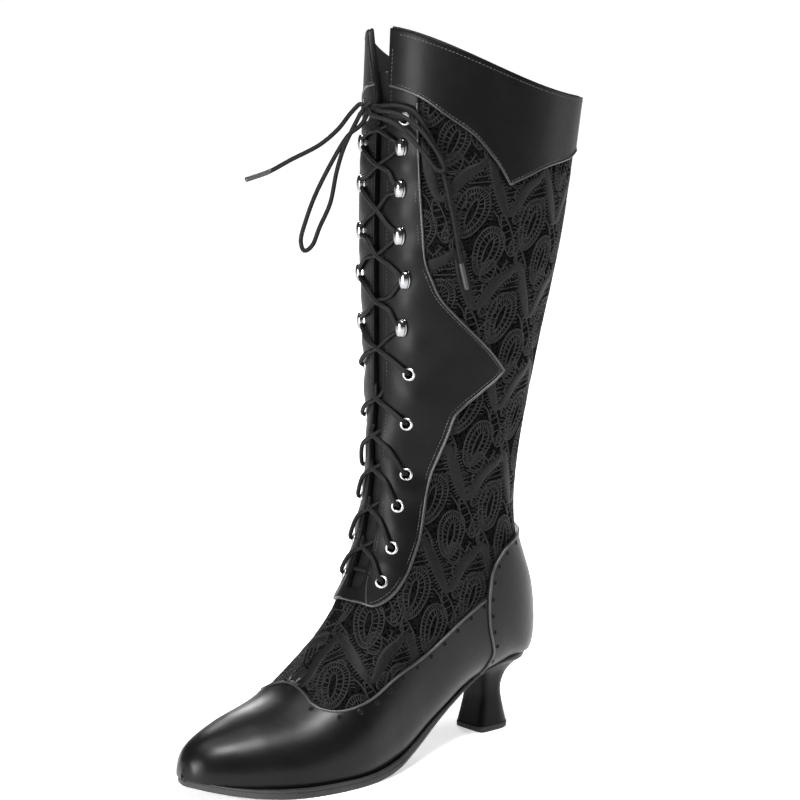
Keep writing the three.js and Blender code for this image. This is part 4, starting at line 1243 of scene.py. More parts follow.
def ladder(start, end, pitch, wide):
    """Short strokes across a line from start to end."""
    reach = end - start
    length = np.linalg.norm(reach)
    aside = np.array([-reach[1], reach[0]]) / length * wide / 2
    count = int(length / pitch)
    middles = [start + reach * (k + 0.5) / count for k in range(count)]
    return [np.linspace(middle - aside, middle + aside, 3) for middle in middles]


def satin_swell(band, corners):
    """Width of the satin strokes: full between the zigzag's corners, narrow at them."""
    ends = corners[[1, 5, 9]]
    gap = np.min(np.linalg.norm(band[:, None] - ends[None], axis=-1), axis=1)
    return 0.62 + 0.50 * np.clip(gap / 12.0, 0, 1) ** 0.8


def one_repeat():
    """Cords, bars and satin bands of one repeat, from the zigzag's peak."""
    cords = []
    bars = []
    bottom = np.array([13.5, -31.0])
    zigzag = np.array([
        [-1.4, -4.0], [0.0, 0.0], [2.6, -2.2], [7.0, -17.0], [11.2, -29.0], bottom,
        [17.0, -28.6], [26.0, -17.5], REPEAT_ALONG + [-4.2, -4.6], REPEAT_ALONG + [-1.4, -1.5],
    ])
    band = flat_line(zigzag, 1.6)
    ahead = unit(np.gradient(band, axis=0))
    aside = np.column_stack([-ahead[:, 1], ahead[:, 0]])
    swell = satin_swell(band, zigzag)
    for k in range(1, len(band) - 1):
        inner = SATIN_HALF * swell[k] - 0.2
        for way in (1, -1):
            out = aside[k] * way
            bars.append(np.linspace(band[k] + out * inner, band[k] + out * (inner + 2.4), 3))
    for line_from, line_to in FILLINGS:
        bars += ladder(np.array(line_from), np.array(line_to), 2.0, 2.6)
    for centre, wide, high, lean in PETALS:
        outer = oval(centre, wide, high, lean, 40)
        middle = oval(centre, wide * 0.66, high * 0.78, lean, 40)
        inner = oval(centre, wide * 0.24, high * 0.54, lean, 40, 0.1)
        cords += [outer, middle, inner]
        bars += bars_between(outer, middle, 1)
        bars += bars_between(middle, inner, 2, 1)
    for centre, wide, high, lean in LEAVES:
        leaf = oval(centre, wide, high, lean, 36, -0.15)
        cords.append(leaf)
        for k in range(2, 17, 2):
            bars.append(np.linspace(leaf[(9 + k) % 36], leaf[(9 - k) % 36], 5))
    for drop in (6.5, 9.5, 12.5, 15.5):
        bars.append(np.array([[-2.0 - 0.62 * drop, -drop - 1.0], [0.55 * drop - 3.4, -drop]]))
        bars.append(bottom + np.array([[-1.3 - 0.2 * drop, drop - 1.0], [0.55 * drop - 1.0, drop]]))
    for start, turn_to, end in CURLS:
        cords.append(flat_line(np.array([start, turn_to, end]), 1.4))
    bars = [flat_line(bar[[0, -1]], 1.3) if len(bar) == 2 else bar for bar in bars]
    return cords, bars, band, swell


def ridge(points, normals, half, height, shape):
    """A low ridge along a line on the cloth, by its section's widths and heights."""
    ahead = np.gradient(points, axis=0)
    side = np.cross(ahead, normals)
    side /= np.linalg.norm(side, axis=1, keepdims=True) + 1e-9
    half = np.broadcast_to(half, len(points))[:, None]
    rows = [points + side * (a * half) + normals * (b * height) for a, b in shape]
    made = np.stack(rows, axis=1).reshape(-1, 3)
    return made, grid_faces(len(points), len(shape))


def runs(good):
    """Start and end of each run of good places."""
    edges = np.flatnonzero(np.diff(np.concatenate([[0], good.astype(int), [0]])))
    return list(zip(edges[::2], edges[1::2]))


def build_lace():
    cords, bars, band, swell = one_repeat()
    kinds = [(line, "cord") for line in cords] + [(line, "bar") for line in bars] + [(band, "band")]
    for side, word in ((1, "lateral"), (-1, "medial")):
        sheet = flatten(side)
        low = sheet[2].reshape(-1, 2).min(axis=0)
        high = sheet[2].reshape(-1, 2).max(axis=0)
        lines = []
        for i in range(-7, 8):
            for j in range(-2, 8):
                shift = REPEAT_START + REPEAT_ALONG * i + REPEAT_DOWN * j
                if np.any(shift < low - 45) or np.any(shift > high + 45):
                    continue
                lines += [(line + shift, kind) for line, kind in kinds]
        targets = np.vstack([line for line, kind in lines])
        s, turn, good = unflatten(targets, sheet)
        base = surface(s, turn, FABRIC_OUT)
        normals = normal_on(s, turn)
        on_reference = base - normals * FABRIC_OUT
        good &= covered_by(s, turn, on_reference) < 1.4
        thread = []
        satin = []
        start = 0
        for line, kind in lines:
            stop = start + len(line)
            for a, b in runs(good[start:stop]):
                if b - a < 2:
                    continue
                part = slice(start + a, start + b)
                if kind == "band":
                    half = SATIN_HALF * swell[a:b]
                    satin.append(ridge(base[part], normals[part], half, SATIN_HEIGHT, BAND_SHAPE))
                elif kind == "cord":
                    thread.append(ridge(base[part], normals[part], CORD_HALF, CORD_HEIGHT, CORD_SHAPE))
                else:
                    thread.append(ridge(base[part], normals[part], BAR_HALF, BAR_HEIGHT, CORD_SHAPE))
            start = stop
        for parts, material, kind in ((thread, LACE_THREAD, "cords"), (satin, SATIN_THREAD, "satin")):
            points, faces = join_fast(parts)
            make_mesh(f"lace_{kind}_{word}", points, faces, material)


def join_fast(parts):
    points = np.vstack([part[0] for part in parts])
    starts = np.cumsum([0] + [len(part[0]) for part in parts[:-1]])
    faces = np.vstack([np.array(part[1]) + start for part, start in zip(parts, starts)])
    return points, faces


# Facing edges: the leather folds in over the cloth's edge at the throat
# The fold's section: distance outwards and distance away from the throat
FACING_PROFILE = [
    (0.3, 1.2), (0.62, 0.6), (0.55, 0.1), (0.2, -0.28), (-0.6, -0.35),
    (-2.0, -0.33), (-2.7, -0.2), (-2.9, 0.6), (-2.9, 2.5),
]


def build_throat_edges():
    parts = []
    for side in (1, -1):
        heights = np.concatenate([np.linspace(THROAT_Z[0] + 0.5, 180, 60), np.linspace(182, 400, 80)])
        rings = []
        for z in heights:
            at, normal, up = frame_on(*throat_point(side * float(throat_half(z, side)), z))
            across = np.cross(up, normal)
            across = across * (1 if across[0] * side > 0 else -1)
            ring = [at + normal * out + across * inset for out, inset in FACING_PROFILE]
            rings.append(np.array(ring))
        faces = grid_faces(len(rings), len(FACING_PROFILE))
        if side > 0:
            faces = [face[::-1] for face in faces]
        parts.append((np.vstack(rings), faces))
    points, faces = join_parts(parts)
    make_mesh("boot_facing_edges", points, faces, SOFT_LEATHER)


FRONT_S = np.linspace(5.5, LAST, 1200)
FRONT_LINE = point_on(FRONT_S, 0.0)


def throat_point(x, z):
    """Section and turn of the front's surface point at an x and z."""
    s = float(np.interp(z, FRONT_LINE[:, 2], FRONT_S))
    turn = turn_at(s, x)
    for _ in range(4):
        p = point_on(s, turn)
        slope = (point_on(s + STEP_UP, turn) - p)[2] / STEP_UP
        s = min(max(s + (z - p[2]) / slope, 5.0), LAST)
        turn = turn_at(s, x)
        p = point_on(s, turn)
        turn = turn * (abs(x) / max(abs(p[0]), 1e-6))
    return s, turn


# Tongue, by section numbers
TONGUE_ROWS = (5.9, 6.2, 6.6, 7, 7.5, 8, 8.6, 10, 12, 13, 14, 15, 15.62, 15.72, 15.74)


def build_tongue():
    fine = np.interp(np.linspace(0, len(TONGUE_ROWS) - 1, 130), np.arange(len(TONGUE_ROWS)), TONGUE_ROWS)
    across = np.linspace(-1, 1, 29)
    outer = []
    inner = []
    for s in fine:
        low = min((s - TONGUE_ROWS[0]) / 0.8, 1)
        high = min(max((TONGUE_ROWS[-1] - s) / 0.12, 0), 1)
        half = (TONGUE_WIDTH / 2) * (0.55 + 0.45 * math.sqrt(low)) * (0.8 + 0.2 * math.sqrt(high))
        turn = turns_at(np.full(across.shape, s), half * across)
        outer.append(surface(s, turn, TONGUE_OUT))
        inner.append(surface(s, turn, TONGUE_IN))
    n = len(fine)
    m = len(across)
    points = np.vstack(outer + inner)
    sheet = grid_faces(n, m)
    faces = list(sheet) + [tuple(v + n * m for v in face[::-1]) for face in sheet]
    for j in range(m - 1):
        a = (n - 1) * m + j
        faces.append((a + 1, a, a + n * m, a + 1 + n * m))
        faces.append((j, j + 1, j + 1 + n * m, j + n * m))
    for i in range(n - 1):
        a = i * m
        faces.append((a + m, a, a + n * m, a + m + n * m))
        b = i * m + m - 1
        faces.append((b, b + m, b + m + n * m, b + n * m))
    make_mesh("boot_tongue", points, faces, TONGUE_MATERIAL, ("tongue",))


# Eyelets and hooks
# An eyelet's ring: radius and distance outwards
EYELET_PROFILE = [
    (EYELET_HOLE - 0.1, -3.4),
    (EYELET_HOLE - 0.1, 0.1),
    (EYELET_HOLE - 0.02, 0.45),
    (EYELET_HOLE + 0.25, 0.72),
    (EYELET_HOLE + 0.6, 0.80),
    (EYELET_RADIUS - 0.5, 0.68),
    (EYELET_RADIUS - 0.12, 0.42),
    (EYELET_RADIUS, 0.1),
    (EYELET_RADIUS - 0.05, -0.15),
]
# Disc across each eyelet's barrel, 3 mm down, in dark matte: painted shade inside the eyelet
SHADE_DISC_PROFILE = [(0.001, -3.0), (EYELET_HOLE, -3.0)]
RING_LIFT = LEATHER_OUT - 0.18


def lathe(place, profile, lift, count=40):
    rings = []
    angle = np.arange(count) * 2 * np.pi / count
    for radius, height in profile:
        ring = place["at"] + place["normal"] * (lift + height)
        ring = ring + radius * (np.cos(angle)[:, None] * place["away"] + np.sin(angle)[:, None] * place["up"])
        rings.append(ring)
    faces = grid_faces(len(rings), count, closed=True)
    return np.vstack(rings), faces


def build_eyelets():
    for side, word in ((1, "left"), (-1, "right")):
        for index in EYELET_ROWS:
            points, faces = lathe(PLACES[(index, side)], EYELET_PROFILE, RING_LIFT)
            name = f"eyelet_{word}_{index + 1}"
            make_mesh(f"ring_{word}_{index + 1}", points, faces, DULL_METAL, (name,))
        # Dark matte discs deep in the eyelets: painted shade of their holes
        shade_discs = [lathe(PLACES[(index, side)], SHADE_DISC_PROFILE, RING_LIFT) for index in EYELET_ROWS]
        points, faces = join_parts(shade_discs)
        make_mesh(f"eyelet_shade_disc_{word}", points, faces, PAINTED_HOLE_SHADE)


# A hook's half height, and its section: distance away from the throat and distance outwards
HOOK_HALF_UP = 4.8
HOOK_SECTION = [
    (-2.2, 0.05), (-1.6, 0.5), (-1.55, 1.3), (-1.75, 2.2), (-1.5, 3.0), (-0.6, 3.65), (0.6, 3.85), (1.8, 3.6),
    (2.9, 2.9), (3.35, 2.1), (3.2, 1.85), (2.6, 2.4), (1.6, 2.95), (0.5, 3.15), (-0.3, 2.9), (-0.75, 2.2),
    (-0.7, 1.2), (-0.3, 0.5), (0.6, 0.35), (3.2, 0.3), (3.3, 0.0), (-2.2, 0.0),
]


def hook_mesh(place):
    """Bent strip: its section from the throat outwards, rounded off towards both ends of its width."""
    section = np.array(HOOK_SECTION)
    spans = np.array([-1, -0.96, -0.85, -0.65, -0.35, 0, 0.35, 0.65, 0.85, 0.96, 1.0])
    rings = []
    for span in spans:
        swell = math.sqrt(max(1 - abs(span) ** 2.1, 0.0))
        away = 0.55 + (section[:, 0] - 0.55) * (0.40 + 0.75 * swell)
        middle = np.where(section[:, 1] > 1.6, 2.6, 0.25)
        height = middle + (section[:, 1] - middle) * (0.30 + 0.70 * swell)
        height = height - 0.9 * (1 - swell) * (section[:, 1] > 1.6)
        lift = height + LEATHER_OUT - 0.05
        ring = place["at"] + place["away"] * away[:, None] + place["normal"] * lift[:, None]
        rings.append(ring + place["up"] * span * HOOK_HALF_UP)
    count = len(section)
    faces = grid_faces(len(rings), count, closed=True)
    faces.append(tuple(range(count))[::-1])
    faces.append(tuple((len(rings) - 1) * count + k for k in range(count)))
    return np.vstack(rings), faces


def build_hooks():
    for side, word in ((1, "left"), (-1, "right")):
        for index in HOOK_ROWS:
            points, faces = hook_mesh(PLACES[(index, side)])
            name = f"hook_{word}_{index + 1}"
            make_mesh(f"speed_{word}_{index + 1}", points, faces, METAL, (name,))


# Lacing
LACE_R = LACE_DIAMETER / 2


def on_front(s, distance, lift):
    return surface(s, turn_at(s, distance), lift)


def beside(place, out, away=0.0, up=0.0):
    """A point by an eyelet or hook: so far outwards, away from the throat and up."""
    return place["at"] + place["normal"] * out + place["away"] * away + place["up"] * up


def smooth_line(points, step=0.9):
    """Points about a step apart on a smooth line through the given ones."""
    points = np.asarray(points, float)
    padded = np.vstack([2 * points[0] - points[1], points, 2 * points[-1] - points[-2]])
    made = []
    for i in range(len(points) - 1):
        count = max(int(np.linalg.norm(points[i + 1] - points[i]) / step), 1)
        for k in range(count):
            made.append(smooth(padded[i], padded[i + 1], padded[i + 2], padded[i + 3], k / count))
    made.append(points[-1])
    return np.array(made)


FACING_TOP = LEATHER_OUT + LACE_R + 0.1
UNDER = -1.75
AGLET_LENGTH = 15
# The knot's place, and the way in which the free cords leave it
KNOT_AT = np.array([-0.026 * CALF_WIDTH, HEEL_BACK - 0.4512 * FOOT_LENGTH, 0.895 * BOOT_HEIGHT])
FREE_OUT = np.array([-0.66, -0.75, 0.0])


def strand(first_side):
    """One lace end from the bottom row up: over the throat from each eyelet, under the other facing."""
    points = []
    side = first_side
    for index in range(len(LACING) - 1):
        here = PLACES[(index, side)]
        there = PLACES[(index + 1, -side)]
        s0 = LACING[index][0]
        s1 = LACING[index + 1][0]
        g0 = LACING[index][1] * BALL_WIDTH
        g1 = LACING[index + 1][1] * BALL_WIDTH
        over = 0.9 if side > 0 else 0.0
        over += 0.6 if index in HOOK_ROWS else -0.2
        if index in EYELET_ROWS:
            points.append(beside(here, UNDER))
            points.append(beside(here, 0.9, -0.3, 0.5))
            points.append(beside(here, 2.75, -2.0, 2.2))
            points.append(on_front(s0 + 0.32 * (s1 - s0), side * 0.50 * g0, FACING_TOP + 0.45))
        else:
            points.append(beside(here, 1.9, -2.7, 2.9))
            slack = 0.30 + 0.09 * math.sin(2.1 * index + side)
            points.append(on_front(s0 + slack * (s1 - s0), side * 0.55 * g0, FACING_TOP + 0.35))
        points.append(on_front(0.5 * (s0 + s1), 0.0, LEATHER_OUT + 0.3 + over))
        if index + 1 in EYELET_ROWS:
            points.append(on_front(s0 + 0.66 * (s1 - s0), -side * 3.6, -0.5))
            points.append(on_front(s0 + 0.80 * (s1 - s0), -side * 6.5, UNDER))
            points.append(on_front(s1 - 0.05 * (s1 - s0), -side * 0.8 * g1, UNDER))
        else:
            slack = 0.74 + 0.09 * math.cos(1.7 * index + side)
            points.append(on_front(s0 + slack * (s1 - s0), -side * 0.55 * g1, FACING_TOP + 0.35))
            points.append(beside(there, 1.9, -2.7, -2.9))
            points.append(beside(there, 1.9, 0.4))
        side = -side
    last = PLACES[(len(LACING) - 1, side)]
    points.append(beside(last, UNDER))
    points.append(beside(last, 1.2, -0.3))
    points.append(beside(last, 2.9, -2.6, 0.4))
    points.append(on_front(15.515, side * 7.5, 3.4))
    points.append(KNOT_AT + np.array([side * 2.6, 1.0, -0.4]))
    return points


# Free courses: how far out and up from the knot, as shares of CALF_WIDTH
END_LEFT = [
    (0.050, 0.014), (0.100, -0.040), (0.165, -0.122), (0.265, -0.205), (0.410, -0.280), (0.530, -0.345),
    (0.650, -0.387),
]
LOOP_LEFT = [
    (0.010, -0.046), (0.045, -0.100), (0.115, -0.160), (0.200, -0.300), (0.285, -0.470), (0.340, -0.620),
    (0.362, -0.710), (0.345, -0.765), (0.300, -0.735), (0.262, -0.640), (0.205, -0.510), (0.172, -0.350),
    (0.135, -0.225), (0.088, -0.122), (0.048, -0.044),
]
# Courses on the shaft: section number and distance from the front, a share of BALL_WIDTH
END_RIGHT = [
    (15.545, 0.030), (15.555, 0.090), (15.565, 0.170), (15.55, 0.270), (15.47, 0.350), (15.33, 0.439),
    (15.17, 0.491), (14.91, 0.553), (14.65, 0.596), (14.44, 0.640),
]
LOOP_RIGHT = [
    (15.497, 0.020), (15.487, 0.070), (15.47, 0.155), (15.42, 0.240), (15.345, 0.325), (15.285, 0.385),
    (15.248, 0.420), (15.226, 0.448), (15.232, 0.476), (15.262, 0.482), (15.31, 0.458), (15.385, 0.400),
    (15.455, 0.327), (15.505, 0.240), (15.525, 0.160), (15.523, 0.085),
]
ON_SHAFT = LEATHER_OUT + 0.3 + LACE_R + 0.45


def free_course(rows):
    made = []
    for out, up in rows:
        made.append(KNOT_AT + FREE_OUT * out * CALF_WIDTH + np.array([0, 0, up * CALF_WIDTH]))
    return np.array(made)


def shaft_course(rows, lift):
    made = []
    for s, out in rows:
        rise = max(0.0, 1 - out / 0.3)
        made.append(on_front(s, out * BALL_WIDTH, ON_SHAFT + lift + 4.5 * rise))
    return np.array(made)


def cord_piece(name, points, radius, replaced):
    curve = bpy.data.curves.new(name, "CURVE")
    curve.dimensions = "3D"
    curve.bevel_depth = radius * MM
    curve.bevel_resolution = 3
    curve.use_fill_caps = True
    spline = curve.splines.new("POLY")
    spline.points.add(len(points) - 1)
    for target, p in zip(spline.points, points):
        target.co = (*(p * MM), 1)
    curve.materials.append(CORD)
    piece = add_object(name, curve)
    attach(piece, "root")
    if replaced:
        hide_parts(replaced)
    return piece


def build_aglets(lines):
    parts = []
    for line in lines:
        walk = walked(line)
        tip = line[walk > walk[-1] - AGLET_LENGTH]
        ahead = unit(line[-1] - line[-2])
        path = np.vstack([tip[:1], tip, line[-1] + ahead * 0.5])
        radius = np.full(len(path), LACE_R + 0.12)
        radius[0] = LACE_R - 0.2
        radius[-1] = LACE_R * 0.6
        path[0] = path[1] - (path[2] - path[1]) * 0.3
        parts.append(tube(path, radius, 12))
    points, faces = join_parts(parts)
    make_mesh("bow_aglets", points, faces, AGLET)


def build_laces():
    for first_side, word in ((1, "left"), (-1, "right")):
        line = smooth_line(strand(first_side), 0.8)
        cord_piece(f"lace_strand_{word}", line, LACE_R, "lace_crossings")
    bar = [
        beside(PLACES[(0, 1)], UNDER),
        on_front(6.78, 8.0, UNDER),
        on_front(6.78, -8.0, UNDER),
        beside(PLACES[(0, -1)], UNDER),
    ]
    cord_piece("lace_bottom_bar", smooth_line(bar, 1.0), LACE_R, None)
    courses = {
        "lace_end_left": (free_course(END_LEFT), "bare"),
        "lace_loop_left": (free_course(LOOP_LEFT), "object"),
        "lace_end_right": (shaft_course(END_RIGHT, 0), "bare"),
        "lace_loop_right": (shaft_course(LOOP_RIGHT, 3.2), "object"),
    }
    ends = []
    knot = build_knot([course[0] for course, far_end in courses.values()] + [
        courses["lace_loop_left"][0][-1],
        courses["lace_loop_right"][0][-1],
    ])
    for name, (course, far_end) in courses.items():
        line = smooth_line(course, 1.2)
        piece = cord_piece("bow_" + name, line, LACE_R, name)
        if far_end == "bare":
            ends.append(line)
    build_aglets(ends)


# The knot's turns: place across, tilt and radius; and the cord that crosses them
KNOT_TURNS = ((-1.6, 0.25, 3.0), (0.0, -0.1, 3.3), (1.6, 0.2, 3.0))
KNOT_CROSSING = (
    (-2.8, -0.6, -1.8),
    (-1.6, -2.6, -0.9),
    (0.2, -3.2, 0.4),
    (1.8, -2.5, 1.5),
    (2.8, -0.4, 2.0),
)


def build_knot(starts):
    """A wrapped knot: three tight turns of the cord, crossed by one, and the cords' first stretch."""
    parts = []
    for start in starts:
        reach = start - KNOT_AT
        bend = KNOT_AT + reach * 0.5 + np.array([0, -0.8, 0.3])
        stretch = [KNOT_AT + reach * 0.1, bend, start + reach * 0.05]
        parts.append(tube(smooth_line(stretch, 0.6), LACE_R, 10))
    for shift, tilt, size in KNOT_TURNS:
        angle = np.linspace(0, 2 * np.pi, 33)
        ring = np.column_stack([
            shift + tilt * np.cos(angle) * 1.6,
            np.cos(angle) * (size - LACE_R) * 0.95,
            np.sin(angle) * (size - LACE_R),
        ])
        parts.append(tube(KNOT_AT + ring, LACE_R * 0.95, 10))
    parts.append(tube(KNOT_AT + smooth_line(KNOT_CROSSING, 0.5), LACE_R, 10))
    points, faces = join_parts(parts)
    return make_mesh("bow_knot", points, faces, CORD, ("lace_knot",))


# Stitches
# A stitch's shape: share of its length and thickness there; its section's shares of the width
STITCH_SWELL = ((-0.5, 0.35), (-0.32, 0.9), (0.0, 1.0), (0.32, 0.9), (0.5, 0.35))
STITCH_SECTION = ((-1, -0.4), (-0.6, 0.6), (0.6, 0.6), (1, -0.4))


def stitch_row(line, normals, pitch, length, width, lift):
    """Short rounded stitches along a line, a pitch apart."""
    walk = walked(line)
    centres = np.arange(pitch / 2, walk[-1], pitch)
    parts = []
    for at in centres:
        i = min(int(np.searchsorted(walk, at)), len(line) - 1)
        p = np.array([np.interp(at, walk, line[:, k]) for k in range(3)])
        direction = line[i] - line[i - 1]
        direction /= np.linalg.norm(direction) + 1e-9
        normal = normals[i]
        side = np.cross(direction, normal)
        rings = []
        for along, size in STITCH_SWELL:
            centre = p + direction * along * length + normal * (lift - 0.15 * (abs(along) * 2) ** 2)
            half = width / 2 * size
            ring = [centre + (side * a + normal * b) * half for a, b in STITCH_SECTION]
            rings.append(np.array(ring))
        parts.append((np.vstack(rings), grid_faces(len(STITCH_SWELL), len(STITCH_SECTION))))
    return parts


def cuff_turns(s, share, side):
    """Turns at shares of the way from the front centre to the back."""
    half = np.array([table_row(side, v)[-1] for v in s])
    return turns_at(s, side * share * half)


def build_stitches():
    parts = []
    for side in (1, -1):
        s = spread(6.35, 15.55, 0.8, 0.8)
        for inset in (1.3, 3.1):
            half = eyestay_half(s) - inset
            turn = turns_at(s, side * half)
            line = surface(s, turn, LEATHER_OUT + 0.12)
            parts += stitch_row(line, normal_on(s, turn), 1.9, 1.45, 0.55, 0.12)
        share = np.linspace(0.055, 1.0, 400)
        low_row = cuff_low(share) + 2.0 / MM_PER_SECTION
        top_row = np.full(share.shape, LAST - 2.4 / MM_PER_SECTION)
        for s in (low_row, top_row):
            turn = cuff_turns(s, share, side)
            line = surface(s, turn, CUFF_OUT)
            clear = d_throat(turn, line) > 2.0
            parts += stitch_row(line[clear], normal_on(s, turn)[clear], 2.2, 1.6, 0.55, 0.1)
        z = np.linspace(THROAT_Z[0] + 6, 392, 400)
        rows = [throat_point(side * (float(throat_half(v, side)) + 2.2), v) for v in z]
        s = np.array([row[0] for row in rows])
        turn = np.array([row[1] for row in rows])
        top = np.where(d_cuff(s, turn) > 0, CUFF_OUT, LEATHER_OUT)
        line = surface(s, turn, top)
        parts += stitch_row(line, normal_on(s, turn), 2.2, 1.6, 0.45, 0.08)
    points, faces = join_parts(parts)
    make_mesh("boot_stitches", points, faces, STITCH)


# Punched holes along the vamp's and the counter's edges: a dark matte disc on the leather, painted shade of
# the hole, in a raised rim
SIDE_S = np.linspace(0.2, 15.9, 300)
HOLE_SHADE_DISC = ((1.25, 0.02), (0.001, 0.03))
RIM_PROFILE = ((1.25, 0.0), (1.35, 0.10), (1.5, 0.10), (1.75, -0.02))


def side_table(side):
    turn = np.linspace(0.02, np.pi - 0.02, 160) * side
    S, T = np.meshgrid(SIDE_S, turn, indexing="ij")
    points = point_on(S, T)
    seen = normal_on(S, T)[..., 0] * side > 0.05
    return S[seen], T[seen], points[seen]


def on_side(y, z, table):
    """Section and turn of the point that shows at y, z in the side view."""
    S, T, points = table
    k = int(np.argmin((points[:, 1] - y) ** 2 + (points[:, 2] - z) ** 2))
    s = float(S[k])
    turn = float(T[k])
    for _ in range(6):
        p = point_on(s, turn)
        ds = (point_on(s + SMALL / 2, turn) - p) / (SMALL / 2)
        dt = (point_on(s, turn + SMALL / 2) - p) / (SMALL / 2)
        jac = np.array([[ds[1], dt[1]], [ds[2], dt[2]]])
        move = np.linalg.lstsq(jac, np.array([y - p[1], z - p[2]]), rcond=None)[0]
        s = float(np.clip(s + np.clip(move[0], -0.2, 0.2), 0, LAST))
        turn = turn + float(np.clip(move[1], -0.2, 0.2))
    return s, turn


def inset_line(line, inset):
    ahead = unit(np.gradient(line, axis=0))
    return line + np.column_stack([-ahead[:, 1], ahead[:, 0]]) * inset


def evenly(line, pitch, start):
    walk = walked(line)
    at = np.arange(start, walk[-1] - 2, pitch)
    return np.column_stack([np.interp(at, walk, line[:, k]) for k in range(2)])


def build_punched():
    discs = []
    rims = []
    for side in (1, -1):
        table = side_table(side)
        vamp = evenly(inset_line(VAMP_LINE, -3.2), 11.3, 6.0)
        counter = evenly(inset_line(COUNTER_LINE[6:], 3.4), 9.5, 4.0)
        for rows, offset in ((vamp, LEATHER_OUT), (counter, COUNTER_OUT)):
            for y, z in rows:
                s, turn = on_side(y, z, table)
                at, normal, up = frame_on(s, turn)
                place = {"at": at, "normal": normal, "up": up, "away": np.cross(up, normal)}
                # The disc paints the hole's shade; the rim is raised leather
                discs.append(lathe(place, HOLE_SHADE_DISC, offset, 20))
                rims.append(lathe(place, RIM_PROFILE, offset, 20))
    points, faces = join_parts(discs)
    make_mesh("punched_holes", points, faces, PAINTED_HOLE_SHADE)
    points, faces = join_parts(rims)
    make_mesh("punched_rims", points, faces, LEATHER)


# Rolled edges of the leather panels, in a lighter leather that paints the highlight along each edge
EDGE_RADIUS = 0.72
# Seam beside the throat's lower end: section number, distance from the front as a share of BALL_WIDTH
THROAT_SEAM = np.array([(6.66, 0.110), (6.52, 0.125), (6.38, 0.150), (6.24, 0.185)])
SEAM_RADIUS = 0.32


def side_line(line, table, offset):
    places = np.array([on_side(y, z, table) for y, z in line])
    return surface(places[:, 0], places[:, 1], offset)


def build_edges():
    parts = []
    for side in (1, -1):
        table = side_table(side)
        vamp = inset_line(VAMP_LINE, -0.45)[:-8]
        parts.append(tube(side_line(vamp, table, LEATHER_OUT + 0.05), EDGE_RADIUS))
        counter = inset_line(COUNTER_LINE, 0.45)[2:-2]
        parts.append(tube(side_line(counter, table, COUNTER_OUT + 0.05), EDGE_RADIUS))
    s = spread(6.19, 15.6, 0.6, 1.0)
    half = eyestay_half(s) - 0.5
    loop_s = np.concatenate([s[::-1], s])
    loop_out = np.concatenate([half[::-1], -half])
    line = surface(loop_s, turns_at(loop_s, loop_out), LEATHER_OUT + 0.1)
    parts.append(tube(line, EDGE_RADIUS))
    for side in (1, -1):
        share = np.linspace(0.03, 1.0, 420)
        s = cuff_low(share) + 0.45 / MM_PER_SECTION
        turn = cuff_turns(s, share, side)
        line = surface(s, turn, CUFF_OUT + 0.05)
        parts.append(tube(line[d_throat(turn, line) > 0.3], EDGE_RADIUS * 0.8))
        turn = turns_at(THROAT_SEAM[:, 0], side * THROAT_SEAM[:, 1] * BALL_WIDTH)
        line = surface(THROAT_SEAM[:, 0], turn, LEATHER_OUT + 0.08)
        parts.append(tube(smooth_line(line, 0.7), SEAM_RADIUS))
    points, faces = join_parts(parts)
    make_mesh("boot_rolled_edges", points, faces, EDGE_HIGHLIGHT_LEATHER)


# Stage
def build_stage():
    floor_material = new_material("floor", (0.9, 0.9, 0.9), 0.9, specular=0.1)
    shader = floor_material.node_tree.nodes["Principled BSDF"]
    shader.inputs["Emission Color"].default_value = (1, 1, 1, 1)
    shader.inputs["Emission Strength"].default_value = 0.54
    mesh = bpy.data.meshes.new("floor")
    size = 12.0
    corners = [(-size, -size, 0), (size, -size, 0), (size, size, 0), (-size, size, 0)]
    mesh.from_pydata(corners, [], [(0, 1, 2, 3)])
    mesh.materials.append(floor_material)
    floor = add_object("floor", mesh)
    world = bpy.data.worlds.new("studio")
    bpy.context.scene.world = world
    world.use_nodes = True
    world.node_tree.nodes["Background"].inputs["Color"].default_value = (1, 1, 1, 1)
    world.node_tree.nodes["Background"].inputs["Strength"].default_value = 0.10


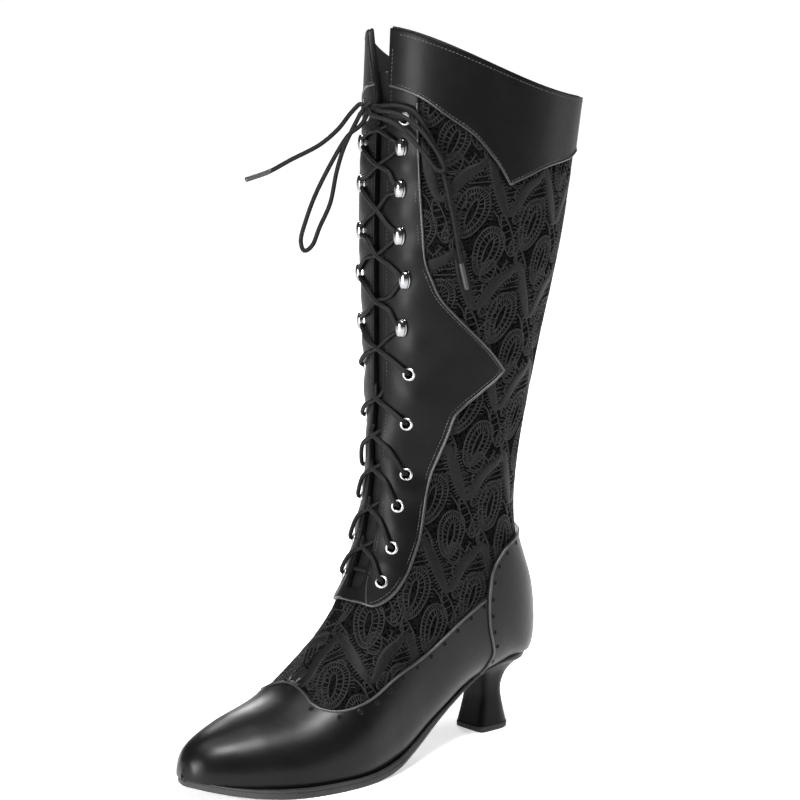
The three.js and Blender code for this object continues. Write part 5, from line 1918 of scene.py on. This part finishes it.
def build_camera():
    data = bpy.data.cameras.new("camera")
    data.lens = FOCAL_PIXELS * SENSOR_WIDTH / PHOTO_WIDTH
    data.sensor_width = SENSOR_WIDTH
    data.clip_end = 50
    camera = add_object("camera", data)
    ahead = Vector((-math.sin(CAMERA_AZIMUTH), math.cos(CAMERA_AZIMUTH), 0))
    look = ahead * math.cos(CAMERA_TILT) - Vector((0, 0, math.sin(CAMERA_TILT)))
    right = look.cross(Vector((0, 0, 1))).normalized()
    up = right.cross(look).normalized()
    matrix = Matrix((right, up, -look)).transposed().to_4x4()
    matrix.translation = Vector(CAMERA_PLACE)
    camera.matrix_world = matrix
    bpy.context.scene.camera = camera


# Area lights, in metres and watts: name, place, target, width, height, power
LIGHTS = (
    ("front", (0.12, -1.35, 0.30), (0, -0.1, 0.28), 0.45, 0.58, 27),
    ("behind_left", (-1.25, 0.75, 0.72), (0, -0.2, 0.05), 0.55, 0.5, 12),
    ("top", (0.63, -0.41, 1.5), (0, -0.18, 0.04), 0.42, 0.42, 44),
    ("back_right", (0.6, 1.3, 0.27), (0, -0.02, 0.25), 0.5, 0.5, 3),
)


def shining(direction):
    """Matrix that turns a light towards a direction."""
    return direction.to_track_quat("-Z", "Y").to_matrix().to_4x4()


def build_lights():
    for name, place, target, width, height, power in LIGHTS:
        data = bpy.data.lights.new(name, "AREA")
        data.shape = "RECTANGLE"
        data.size = width
        data.size_y = height
        data.energy = power
        light = add_object(name, data)
        light.matrix_world = Matrix.Translation(place) @ shining(Vector(target) - Vector(place))
    sky = bpy.data.lights.new("sky", "SUN")
    sky.energy = 1.35
    sky.angle = math.radians(35)
    overhead = add_object("sky", sky)
    overhead.matrix_world = shining(Vector((0.12, 0.10, -1)))


build_camera()
build_laces()
build_stage()
build_lights()
build_outsole()
build_heel()
build_panels()
build_body()
build_lace()
build_throat_edges()
build_tongue()
build_eyelets()
build_hooks()
build_stitches()
build_punched()
build_edges()
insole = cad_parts["insole"]
insole.data.materials.clear()
insole.data.materials.append(LINING)

bpy.context.scene.view_settings.view_transform = "Standard"
bpy.context.view_layer.update()
